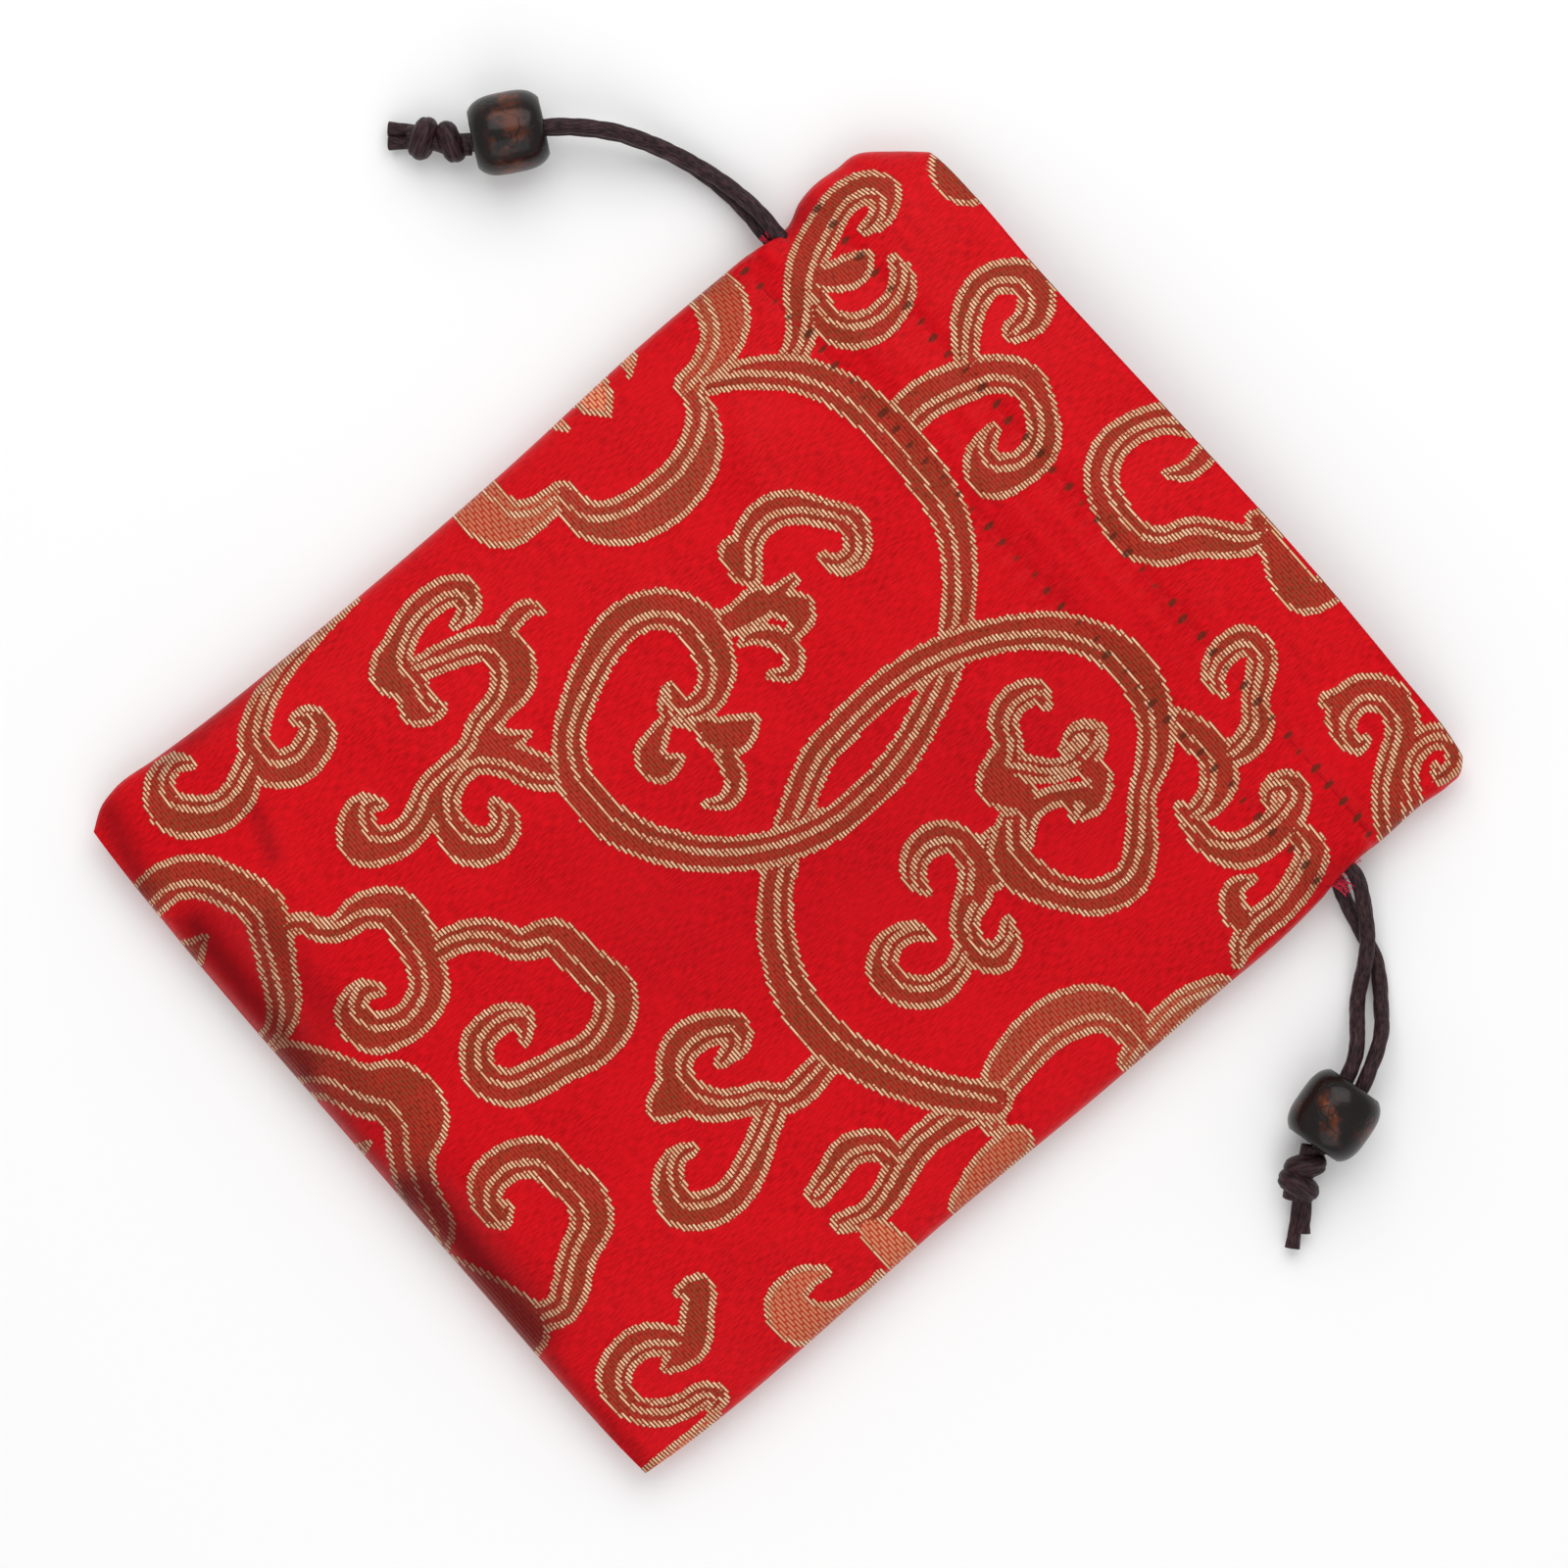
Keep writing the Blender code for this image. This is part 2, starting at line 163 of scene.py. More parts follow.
def soft_noise(x, y, cell, seed):
    """Smooth noise from -1 to 1 with bumps about a cell across."""
    random = np.random.default_rng(seed)
    table = random.uniform(-1, 1, (64, 64))
    gx, gy = x / cell, y / cell
    ix, iy = np.floor(gx).astype(int), np.floor(gy).astype(int)
    fx, fy = gx - ix, gy - iy
    fx, fy = fx * fx * (3 - 2 * fx), fy * fy * (3 - 2 * fy)
    a, b = table[ix % 64, iy % 64], table[(ix + 1) % 64, iy % 64]
    c, d = table[ix % 64, (iy + 1) % 64], table[(ix + 1) % 64, (iy + 1) % 64]
    return (a * (1 - fx) + b * fx) * (1 - fy) + (c * (1 - fx) + d * fx) * fy


# ---------------- curves and tubes

def smooth_curve(points, step):
    """Points at most a step apart on a Catmull-Rom curve through the given ones, width and all."""
    points = np.array(points, float)
    ends = np.vstack([2 * points[:1] - points[1:2], points, 2 * points[-1:] - points[-2:-1]])
    made = [points[:1]]
    for i in range(1, len(ends) - 2):
        before, start, end, after = ends[i - 1:i + 3]
        count = max(1, math.ceil(np.linalg.norm((end - start)[:3]) / step))
        t = (np.arange(1, count + 1) / count)[:, None]
        made.append(0.5 * (2 * start + (end - before) * t
                           + (2 * before - 5 * start + 4 * end - after) * t ** 2
                           + (3 * start - before - 3 * end + after) * t ** 3))
    return np.vstack(made)


def unit(vectors):
    return vectors / np.maximum(1e-9, np.linalg.norm(vectors, axis=-1, keepdims=True))


def frames(path):
    """A tangent and two cross directions at each point of a path, turning as little as they can."""
    tangents = unit(np.gradient(path, axis=0))
    side = np.cross(tangents[0], [0, 0, 1])
    if np.linalg.norm(side) < 0.1:
        side = np.cross(tangents[0], [0, 1, 0])
    sides = []
    for tangent in tangents:
        side = side - tangent * np.dot(side, tangent)
        side = side / np.linalg.norm(side)
        sides.append(side)
    sides = np.array(sides)
    return tangents, sides, np.cross(sides, tangents)


TIP = 0.12


def tube_mesh(path, radius, around, shape=None):
    """Vertices, faces and UVs (turns, length) of a closed tube along a path.

    radius is a number or one for each point, and shape(turn, length) scales it.
    """
    path = np.array(path, float)
    count = len(path)
    lengths = np.concatenate([[0], np.cumsum(np.linalg.norm(np.diff(path, axis=0), axis=1))])
    tangents, sides, ups = frames(path)
    turns = np.arange(around) / around
    radii = np.broadcast_to(radius, (count,))[:, None] * np.ones((1, around))
    if shape is not None:
        radii = radii * shape(turns[None, :], lengths[:, None])
    angle = 2 * np.pi * turns
    rings = (path[:, None] + radii[..., None] * (np.cos(angle)[None, :, None] * sides[:, None]
                                                 + np.sin(angle)[None, :, None] * ups[:, None]))
    tips = path[:1] - tangents[:1] * TIP, path[-1:] + tangents[-1:] * TIP
    verts = np.vstack([rings.reshape(-1, 3), *tips])
    faces, uvs = [], []
    for i in range(count - 1):
        for j in range(around):
            k = (j + 1) % around
            faces.append((i * around + j, i * around + k, (i + 1) * around + k, (i + 1) * around + j))
            uvs += [(j / around, lengths[i]), ((j + 1) / around, lengths[i]),
                    ((j + 1) / around, lengths[i + 1]), (j / around, lengths[i + 1])]
    first, last, base = count * around, count * around + 1, (count - 1) * around
    for j in range(around):
        k = (j + 1) % around
        faces.append((first, k, j))
        faces.append((last, base + j, base + k))
        uvs += [(j / around, 0)] * 3 + [(j / around, lengths[-1])] * 3
    return verts, faces, uvs


def joined(parts):
    """Several (vertices, faces, uvs) as one."""
    verts, faces, uvs, start = [], [], [], 0
    for part_verts, part_faces, part_uvs in parts:
        verts.append(part_verts)
        faces += [tuple(index + start for index in face) for face in part_faces]
        uvs += part_uvs
        start += len(part_verts)
    return np.vstack(verts), faces, uvs


def make_object(name, verts, faces, material, uvs=None):
    mesh = bpy.data.meshes.new(name)
    mesh.from_pydata((np.array(verts) * MM).tolist(), [], faces)
    if uvs is not None:
        layer = mesh.uv_layers.new(name="thread")
        layer.data.foreach_set("uv", np.array(uvs, np.float32).ravel())
    mesh.shade_smooth()
    mesh.materials.append(material)
    made = bpy.data.objects.new(name, mesh)
    bpy.context.scene.collection.objects.link(made)
    return made


def placed(name, mesh, material, body="pouch", node=None):
    """A piece made from (vertices, faces, uvs), on its body and standing for its node."""
    verts, faces, uvs = mesh
    made = make_object(name, verts, faces, material, uvs)
    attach(made, body)
    if node:
        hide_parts(node)
    return made


# ---------------- the figure woven into the cloth

# Each band of the figure is a spine of (x, y, width) and how far its inner gold line runs from one
# edge: positive from the left of its direction, negative from the right, and 0 for no line. A band
# with over set hides what it crosses; any other joins what it touches. Its tone goes from brown, 0,
# to salmon, 1.3. A cut band has open ends, because it repeats a stretch of another.
BANDS = []
FIGURE_SHIFT = (1.05, -0.1)
SPINE_STEP = 1.2
FAR = 9.0


def band(spine, line=0.0, over=False, tone=0.0, cut=False):
    BANDS.append((spine, line, over, tone, cut))


# Upper left.
band([(-46.5, 69.8, 8), (-45, 69.8, 8)])
band([(-26, 61.2, 3.4), (-25.8, 64, 4.6), (-27.6, 66.4, 5), (-30.4, 66.6, 5), (-32.6, 64, 4.4),
      (-32.8, 61, 4.4), (-31.2, 57.8, 4.2), (-28.5, 55.2, 3.6), (-26.6, 54, 3)], 1.9)
band([(-26.8, 43, 5.4), (-26.8, 47, 5.6), (-25.6, 51.5, 5.6), (-23.6, 55.6, 5), (-20.2, 58, 5),
      (-16, 57, 4.4), (-12.8, 54.4, 4.8), (-12.2, 50.6, 4.8), (-14, 46.8, 6), (-17, 47.8, 4),
      (-18.2, 50.8, 2.2)], -2.0)
band([(-48.3, 55.4, 2), (-48.2, 58, 3.4), (-50.2, 60.4, 4.4), (-52.4, 58.8, 4.6), (-53, 55.4, 4.6),
      (-51.8, 51.4, 5), (-50.2, 47.6, 5.2), (-47.6, 44.4, 5), (-44.6, 41.8, 4.4), (-42.4, 39, 3.8),
      (-41.6, 36, 3.4)], 1.8)
band([(-43, 55.6, 1.6), (-40.4, 55, 3.4), (-38.4, 52, 4.2), (-38.2, 48, 4.8), (-40, 45, 4.8),
      (-43, 44, 4.2), (-46, 45, 3.6)], -1.9)
band([(-45.4, 53.4, 1.8), (-45.3, 51, 4.6), (-46.3, 48.4, 4.2), (-48.5, 46, 3)])

# The cloud at the left edge.
band([(-57, 35.5, 6), (-53, 35.4, 7), (-49.8, 33, 6), (-48.2, 29, 4.5), (-47.8, 25.5, 4)], -2.1, tone=0.4)
band([(-48.5, 25.2, 2.6), (-44.5, 24.6, 3.8), (-41, 21.6, 5.8), (-39.2, 17.5, 6.6), (-39, 12.5, 7),
      (-40.4, 7.6, 6.4), (-43.5, 4.6, 5), (-48, 4.2, 3.6)], -2.4, tone=0.2)
band([(-48.2, 3.5, 3.4), (-48.3, 0, 4.4), (-49.8, -3.6, 6.5), (-53, -4.6, 7.4),
      (-57, -4.4, 7)], -1.9, tone=0.6)
band([(-56, 15.5, 6.5), (-51.5, 15.4, 0.6)], tone=1.3)
band([(-55.8, 22, 2.5), (-53.8, 20.6, 0.6)], tone=1.3)
band([(-56, 9.6, 2.6), (-53.8, 10.2, 0.6)], tone=1.3)

# The scroll in the left ring.
band([(-20, 24.2, 1.8), (-18, 25, 3), (-17.8, 27.8, 3.6), (-21, 29.7, 4), (-24.5, 27.6, 3.8),
      (-27.7, 25, 4.6), (-28.9, 21.5, 4.6), (-27.7, 17.9, 4.2), (-24.5, 15.6, 3.4)], 1.9)
band([(-28, 16, 4.2), (-25.5, 15, 3)])
band([(-20.4, 19.3, 1.8), (-20.2, 15.5, 3.4)])
band([(-19.8, 15.4, 3.4), (-17.2, 17.4, 4.4), (-15.7, 16.4, 3.2), (-15.2, 14.4, 2)])
band([(-13, 9.4, 1.6), (-11.8, 11.6, 2.6), (-13.6, 13.4, 3), (-16.6, 12.8, 3), (-18.4, 10.8, 2.4),
      (-18.6, 9.2, 1.4)])
band([(-21, 14, 5), (-21.5, 10, 4), (-23, 7.5, 4)])
band([(-10.2, 4.2, 1.6), (-10.4, 0.9, 5.2), (-12.4, -1.2, 4)])
band([(-9, -1.6, 3.2), (-6, -2.8, 3), (-4.7, -5.2, 2.4), (-6.2, -7.8, 1.2)])
band([(-20.2, -2, 1.8), (-18, -3.4, 3), (-15, -1.6, 3), (-12.5, -0.6, 3.4)])
band([(-17.4, -4.5, 2), (-15.6, -8.8, 4.2), (-13.4, -9, 4.2), (-12.6, -6.4, 1.6)])

# Upper right.
band([(-2.5, 70.5, 3.6), (-5.2, 68.4, 4.2), (-6.8, 64.5, 4.2), (-6.8, 60.5, 4.6), (-4.6, 57.2, 4.6),
      (-0.6, 55.6, 4.8), (3.8, 55.4, 5.2), (7, 57.6, 5.2), (8.6, 61.2, 5.4), (11, 63.6, 5), (13.2, 66, 4.2),
      (14, 68.6, 3.4)], 1.9)
band([(1.6, 70, 3.2), (1.8, 66.5, 2.8), (0.4, 64, 1.4)])
band([(12, 68.8, 2.6), (16, 68.2, 3.6), (20, 67.2, 5), (23.4, 67.4, 5.4), (25, 70, 4)])
band([(42.4, 61.4, 1.4), (42.4, 59.8, 2.4), (40, 59.6, 3.4), (37.6, 61.4, 4.8), (37.8, 65, 5),
      (40.6, 67, 5), (44.4, 66, 4.8), (46.8, 62.8, 4.8), (49, 59.8, 4.8), (52, 57.4, 4.6),
      (55, 56, 4.4)], -1.9)
band([(35.4, 60.6, 2.4), (36.6, 62.6, 3.6)])
band([(50, 70, 3.6), (47.8, 68, 3.6), (47.7, 64.5, 3.6), (50, 61.8, 3.4), (54, 60, 3.2)], 1.8)
band([(51, 66, 1.4), (52.4, 65.4, 2.2), (52.2, 68.2, 2.6), (49.5, 69.6, 3)])
band([(26, 51.2, 1.6), (23.8, 51.4, 3), (22.2, 54, 3.8), (22.6, 57.4, 4.2), (25.2, 58.2, 4),
      (27.5, 56.2, 4), (29.4, 53.6, 3.6), (32, 52, 4.4), (32.9, 49.3, 4.2), (32.7, 47, 3.6)], -1.8)
band([(23.4, 43.8, 3.2), (27, 44.9, 4.6), (31, 45.4, 4.8), (34.2, 43.6, 5), (35.4, 40.6, 4),
      (35.2, 38.4, 3)], -1.8)
band([(33.4, 37.6, 1.8), (36.4, 37.4, 3.2), (40, 37.8, 4), (42.8, 40.2, 5), (43.6, 43.8, 5),
      (43.2, 47.6, 4.6), (41.8, 50, 4), (39.8, 49.8, 3.6), (39.2, 47.6, 2.6), (41, 46.2, 1.4)], 1.8)
band([(46, 47, 3.4), (49, 46.6, 4.6), (50.8, 43, 4.6), (51.6, 39, 4.4), (51.4, 35.5, 4.4), (52, 32.4, 3.4),
      (53.5, 30.6, 1.8)], -1.7)
band([(46.4, 38.8, 1.4), (45.9, 36.2, 3), (47.8, 34.4, 3.8), (50.4, 34.4, 3.4)])

# The cloud at the right edge.
band([(56, 14.5, 5), (51.5, 14.8, 5), (47, 13.8, 6), (44.4, 10.4, 6.8), (43.5, 5.4, 6.6), (44.2, 0.2, 6.2),
      (46, -4.4, 4.6), (48.5, -6.6, 3.4)], 2.2, tone=0.3)
band([(53.8, 12, 3.4), (53.2, 17, 4.4), (53, 22, 4.2), (54.5, 26.5, 4)], 1.9, tone=0.5)

# The scroll in the right ring, and the lobe at its end.
band([(12.6, 33.2, 1.6), (10.4, 33.4, 3.4), (9.4, 30.4, 4), (10.6, 27.6, 4), (13, 26.6, 3.8),
      (14.5, 24.5, 4.5)], 1.7)
band([(13.5, 24.5, 3), (16, 22, 5.5), (19, 23, 5)])
band([(18.2, 31.2, 1.4), (17.5, 34, 2.4), (19.3, 35.8, 2.8), (20.8, 33.2, 3.6), (20.2, 30, 3),
      (18.6, 27.5, 3.4), (16.5, 25.8, 3.5), (15, 24, 4)], -1.7)
band([(20.5, 32, 3.5), (23.8, 32.4, 3.6), (25.7, 30, 3.4), (26, 27.6, 1.8)])
band([(24.2, 29.5, 3.4), (21.8, 26, 3), (21.5, 22.5, 3.2), (23.2, 19.5, 4)])
band([(25.8, 26.4, 1), (24.2, 27.4, 2.2), (22.4, 27.6, 2.6)])
band([(20.6, 6.4, 1.4), (18, 6.4, 3.2), (16, 8.6, 4), (16.2, 11.8, 4.4), (18.4, 13.6, 4.2), (22, 13.2, 4.6),
      (24.8, 10.6, 4.8)], -1.8)
band([(30, 11.6, 1.6), (32.2, 10, 3.6), (32.6, 7.4, 4.4), (29.8, 6.2, 3.8), (26.6, 7.4, 4),
      (24.6, 10.8, 4.6)], -1.7)
band([(25.4, 3, 1.2), (23.2, 1.8, 2.8), (22.4, -1.5, 3.6), (24.4, -4.4, 4.4), (28, -4, 4.4),
      (30.6, -1.2, 4.4), (30.6, 2.6, 3.6), (29.4, 5, 3)], 1.8)
band([(24, 14, 5), (22, 17, 5)])

# Lower left.
band([(-44.2, -16.8, 1.6), (-44.8, -14, 3.4), (-47.2, -13.6, 4.2), (-48.5, -16.5, 4.2), (-48.4, -20.5, 4.2),
      (-46.8, -24.2, 4.4), (-45, -26.8, 6), (-41.8, -26.2, 4.6), (-39.2, -27.2, 5),
      (-37.4, -25.4, 2.4)], 1.8)
band([(-43, -24, 3.4), (-41.8, -20, 4), (-40, -15.8, 4.6), (-37, -14.2, 6), (-34, -15.8, 6),
      (-32.8, -19, 4.4), (-32.2, -22.6, 4.2), (-30.8, -25.6, 3.8), (-30.7, -29.5, 3.6), (-30.2, -33, 4.2),
      (-28.2, -37, 4.4), (-28.4, -41, 4.8), (-30.8, -43.8, 6), (-33.4, -42.4, 5), (-34.4, -40.4, 3.2),
      (-33, -38.8, 1.8)], -1.9)
band([(-38.2, -7.4, 1.2), (-39.8, -8.4, 2.4), (-39.8, -11.4, 3), (-38.6, -14, 3)])
band([(-27.6, -18.8, 1.2), (-28.6, -21.4, 3.2), (-31, -23.6, 3.6)])
band([(-20.5, -19.6, 3.2), (-23.5, -21.2, 5), (-27, -23.2, 4.6), (-29.6, -26.8, 3.8), (-28.6, -31.6, 3.8),
      (-25.2, -34, 4.4), (-21.8, -33.8, 5.4), (-19.9, -31, 4.6), (-20.9, -28.3, 4), (-23.6, -27.8, 2)], 1.9)
band([(-48.4, -40, 2), (-47.4, -38.6, 3.4), (-45, -39.2, 5), (-43.8, -42.8, 5.2), (-45.4, -46.2, 5),
      (-49.6, -46, 4.4), (-52.4, -42.6, 3.8), (-53.9, -38.4, 2.8), (-54.5, -33, 1.6), (-54.8, -27, 0.9),
      (-54.9, -24, 0.5)], -1.9)
band([(-47.8, -48, 4.2), (-45.8, -51.8, 4.8), (-45.9, -55.4, 5.2), (-48.4, -59, 5.8), (-51.4, -60, 5),
      (-54, -58.2, 4), (-54.4, -55.6, 3), (-53, -54, 1.8)], -1.9)
band([(-15.4, -54.4, 2), (-16.8, -56.2, 3.2), (-15.4, -59, 4.6), (-11.8, -58.6, 5.6), (-9.9, -54.4, 5),
      (-11, -49.8, 5.4), (-14.4, -47.6, 5.2), (-18, -46.4, 6), (-21.8, -46.2, 5.8), (-24.3, -49.4, 4.8),
      (-24.6, -53, 3.6), (-26, -55, 3.4), (-28.2, -56.2, 3), (-29.3, -58.4, 2.6)], 2.2)
band([(-43.4, -72, 5.4), (-43.4, -66, 5.6), (-41, -62.2, 5.8), (-37, -60, 5.8), (-33, -58.8, 6),
      (-29.4, -60.4, 5.8), (-25.6, -62.6, 5.2), (-21.8, -65, 4.8), (-20, -68, 3.6), (-19.8, -71, 3)], -2.1)
band([(-35, -67.2, 1.2), (-34.6, -71, 5)])
band([(-15, -70, 8), (-11.4, -66.6, 6.6), (-7, -64.4, 7), (-4, -61.4, 8.6), (0, -61.6, 8.8), (3, -65, 6.4),
      (7, -67.4, 5.6), (12, -69, 5.4), (14, -71, 4)], -2.7)
band([(-1.5, -68.2, 0.8), (-1.6, -71, 2.6)])

# Lower right.
band([(1.6, -44.6, 1.6), (-0.8, -42.8, 3.2), (-2.6, -45.4, 4), (-2.2, -49.2, 4.4), (1.2, -51.6, 4.6),
      (4.8, -50, 5), (6.2, -46.4, 5), (7, -42.6, 4.8), (8, -38.6, 5), (7, -34.4, 5.6), (4, -31.6, 5.6),
      (0.4, -32.2, 5.4), (-3, -32.6, 5.2), (-6.2, -33.4, 5), (-8, -37, 4.2), (-11.4, -39, 4.2),
      (-13.6, -42, 4), (-14.4, -45, 3.8)], 2.1)
band([(19.8, -27.4, 2), (19.4, -24.4, 3.6), (17.6, -23.4, 4.2), (15.6, -26, 4.6), (14.9, -29.4, 5),
      (16.2, -32.2, 4.8), (19, -33.6, 5), (22.6, -32.4, 4.6), (25, -29.6, 4), (26.4, -26.6, 4),
      (28.8, -24.2, 4), (29, -20.8, 4.4), (28.6, -18, 4)], 1.9)
band([(19.2, -34.8, 6.4), (19.2, -36.6, 4.6)])
band([(28.4, -26, 4), (30.4, -29.6, 4), (32.4, -33.4, 4.6), (33.6, -37.2, 4.8), (32.9, -41, 5),
      (30.6, -43.6, 5), (27.2, -42.6, 4.4), (25.3, -40, 3.2), (25.8, -37.4, 1.8)], -1.9)
band([(16, -60, 1.8), (16.8, -61.6, 3), (14.6, -62, 4), (12, -60, 5), (11.9, -56.2, 5.2), (14, -52.8, 5.4),
      (17.4, -52.4, 5), (21, -51.6, 5.6), (24.6, -53.2, 5.6), (26.6, -57.4, 5), (29, -60.6, 5),
      (30.4, -63.4, 4.4), (29.6, -66, 4)], -2.1)
band([(17, -71, 3), (20.5, -69.6, 3.4), (24.5, -68.6, 4.6), (29, -68.6, 6.6), (31, -71, 5)])
band([(38.6, -50.4, 2), (39.8, -48.4, 4), (42.2, -50.8, 4.4), (44.6, -53.6, 4.6), (44.9, -56.6, 3.4),
      (44.8, -58.4, 1.4)])
band([(43, -55.2, 4), (40.6, -57.6, 4.6), (40, -61, 4.6), (41.6, -64.4, 4.6), (45.4, -65.2, 3.8),
      (48.6, -63, 3.8), (50, -60, 3.6), (50.6, -57, 3.6), (52.2, -55.8, 2.8), (52.8, -57.6, 1.6)], 1.8)
band([(53.6, -57.5, 1.4), (53.8, -63, 2), (54, -69.5, 2.8)], tone=0.9)
band([(45.8, -4, 5), (44.8, -9, 4.6), (44.2, -14, 4.4), (44.8, -18, 4.6), (46.4, -22.4, 4.4),
      (46.8, -26, 3.8), (45.4, -29.4, 3)], -1.9)
band([(44, -18.8, 3.6), (40.9, -19.4, 4.2), (39, -22.6, 4.4), (39.8, -26.2, 4), (40.6, -29.3, 3.4)], 1.8)
band([(52.4, -6, 5), (52.6, -11, 5), (54.2, -16, 4.6)], tone=0.6)
band([(47.6, -27, 3.4), (51, -26.6, 4.6), (55, -26.4, 5.4)], tone=0.8)
band([(48.8, -35, 1.8), (47.6, -38, 3.8), (48.6, -41.6, 5.6), (52, -41.4, 6.6), (54, -38, 4),
      (54.2, -33, 2), (53.8, -30, 1.4)], tone=0.7)

# The two rings, each running on into a scroll. The right one lies over the left at the top, under it
# below.
LEFT_RING = [(-46, 27.5, 2.6), (-43.8, 32.5, 4.4), (-39.5, 37, 5), (-34, 39.8, 5.4), (-27, 41, 5.6),
      (-20, 40.8, 5.6), (-13, 39.4, 5.2), (-7.5, 36, 4.9), (-2.9, 31.6, 4.7), (0.8, 26.4, 4.7),
      (3.4, 21, 4.7), (5.4, 15.5, 4.9), (6.3, 10, 4.9), (6.3, 4, 4.9), (5, -1.5, 4.9), (2.4, -7, 4.9),
      (-1.6, -12, 4.9), (-6.5, -15.8, 5.1), (-12.5, -18.2, 5.3), (-19, -18.1, 5), (-23.6, -15.5, 4.6),
      (-26.5, -11.5, 4.8), (-28.8, -7, 5.2), (-30.2, -3, 5.6), (-30.2, 1, 5.6), (-28.5, 4.4, 5.6),
      (-25, 6.4, 5.6), (-21, 5.9, 5.6), (-17.8, 4.4, 5.2), (-16, 0.8, 4.4), (-17.4, -2, 3.4),
      (-20.3, -1.3, 1.8)]
band(LEFT_RING, -2.2, True)
band([(46.4, -4.6, 5), (40, -9.7, 5.3), (34, -12.9, 5.5), (27, -15.2, 5.7), (20, -15.1, 5.5),
      (13.5, -12.5, 5.2), (8.3, -8.4, 4.9), (4.4, -3.4, 4.8), (1.2, 1.8, 4.8), (-1.4, 7, 4.8),
      (-2.2, 13, 4.8), (-2.4, 19, 4.8), (-1.7, 25, 4.9), (0.2, 30.8, 4.9), (3, 36.2, 5), (6.8, 40.8, 5.2),
      (12, 43.9, 5.4), (17.5, 44.4, 5.6), (22.5, 42.8, 5.2), (26.5, 39.2, 4.8), (28.8, 35.4, 4),
      (31.6, 32.8, 4.2), (34.6, 30, 4.8), (36.4, 26.5, 5.2), (35.2, 22.3, 5.2), (31.8, 19.2, 4.8),
      (27.5, 17.2, 5.6), (23.5, 17.4, 5.2), (21, 20, 4)], -2.2, True)
band(LEFT_RING[12:18], -2.2, True, cut=True)


def band_fields(spine, line, cut, x, y):
    """How far each point lies outside a band, and from its inner line."""
    route = smooth_curve([(px, py, 0, w) for px, py, w in spine], SPINE_STEP)
    starts, ends = route[:-1], route[1:]
    best = np.full(x.shape, 1e9)
    side = np.zeros(x.shape)
    half = np.zeros(x.shape)
    past = np.zeros(x.shape, bool)
    for number, (start, end) in enumerate(zip(starts, ends)):
        step = end[:2] - start[:2]
        dx, dy = x - start[0], y - start[1]
        reached = (dx * step[0] + dy * step[1]) / max(1e-9, step @ step)
        share = np.clip(reached, 0, 1)
        off = np.hypot(dx - share * step[0], dy - share * step[1])
        width = (start[3] + (end[3] - start[3]) * share) / 2
        outside = off - width
        nearer = outside < best
        best = np.where(nearer, outside, best)
        side = np.where(nearer, np.where(step[0] * dy - step[1] * dx > 0, off, -off), side)
        half = np.where(nearer, width, half)
        beyond = ((reached < 0) & (number == 0)) | ((reached > 1) & (number == len(starts) - 1))
        past = np.where(nearer, beyond, past)
    if cut:
        best = np.where(past, FAR, best)
    if line == 0:
        return best, np.full(x.shape, FAR)
    return best, half - abs(line) - (side if line > 0 else -side)


def figure_fields(x, y):
    """The figure at each point: how far outside it, how far from its inner line, and its tone."""
    x, y = x - FIGURE_SHIFT[0], y - FIGURE_SHIFT[1]
    outside, inner, pale = np.full(x.shape, FAR), np.full(x.shape, FAR), np.zeros(x.shape)
    for spine, line, over, tone, cut in BANDS:
        points = np.array(spine)
        reach = points[:, 2].max() / 2 + 4
        (left, low), (right, high) = points[:, :2].min(0) - reach, points[:, :2].max(0) + reach
        near = (x > left) & (x < right) & (y > low) & (y < high)
        if not near.any():
            continue
        d, e = band_fields(spine, line, cut, x[near], y[near])
        old = outside[near]
        deeper = (d < 0) if over else (d < old)
        outside[near] = np.where(deeper, d, old)
        inner[near] = np.where(deeper, e, inner[near])
        pale[near] = np.where(deeper, tone, pale[near])
    return outside, inner, pale


def float_share(field, x):
    """A distance in lengths of a gold float: long ones across its outline, and one row's along it."""
    lean = np.clip(np.abs(np.gradient(field, axis=1) / np.gradient(x, axis=1)), 0, 1)
    return field / (FLOAT_ACROSS * lean + ROW * np.sqrt(1 - lean ** 2))


# ---------------- the cloth

def stitch_rows(x):
    """Where the two rows of stitches run, as y at each x."""
    return LOWER_STITCHES + LOWER_SLANT * x, UPPER_STITCHES + UPPER_SLANT * x


def front_height(x, y, across):
    """The height of the front of the pouch."""
    from_fold = y + HALF_LENGTH
    crown = np.sqrt(np.maximum(0, 1 - np.abs(across) ** CROWN))
    rise = quarter(1 - from_fold / FOLD_RISE)
    thickness = THICKEST + (MOUTH_THICKNESS - THICKEST) * smoothstep(y, HALF_LENGTH - MOUTH_BAND, HALF_LENGTH)
    height = SEAM_HEIGHT + (thickness - SEAM_HEIGHT) * crown * rise
    loose = crown * np.clip(from_fold / 8, 0, 1)
    return height + loose * (relief(x, y) + creases(x, y))


def back_height(x, y, across):
    """The height of the back of the pouch, which rests on the table."""
    from_fold = y + HALF_LENGTH
    base = quarter((np.abs(across) - FLAT_SHARE) / (1 - FLAT_SHARE))
    drop = quarter(1 - from_fold / FOLD_RISE_BELOW)
    bottom = SEAM_HEIGHT - SEAM_HEIGHT * base * drop
    return bottom + 0.12 * (1 + soft_noise(x, y, 7, 21)) * base * drop


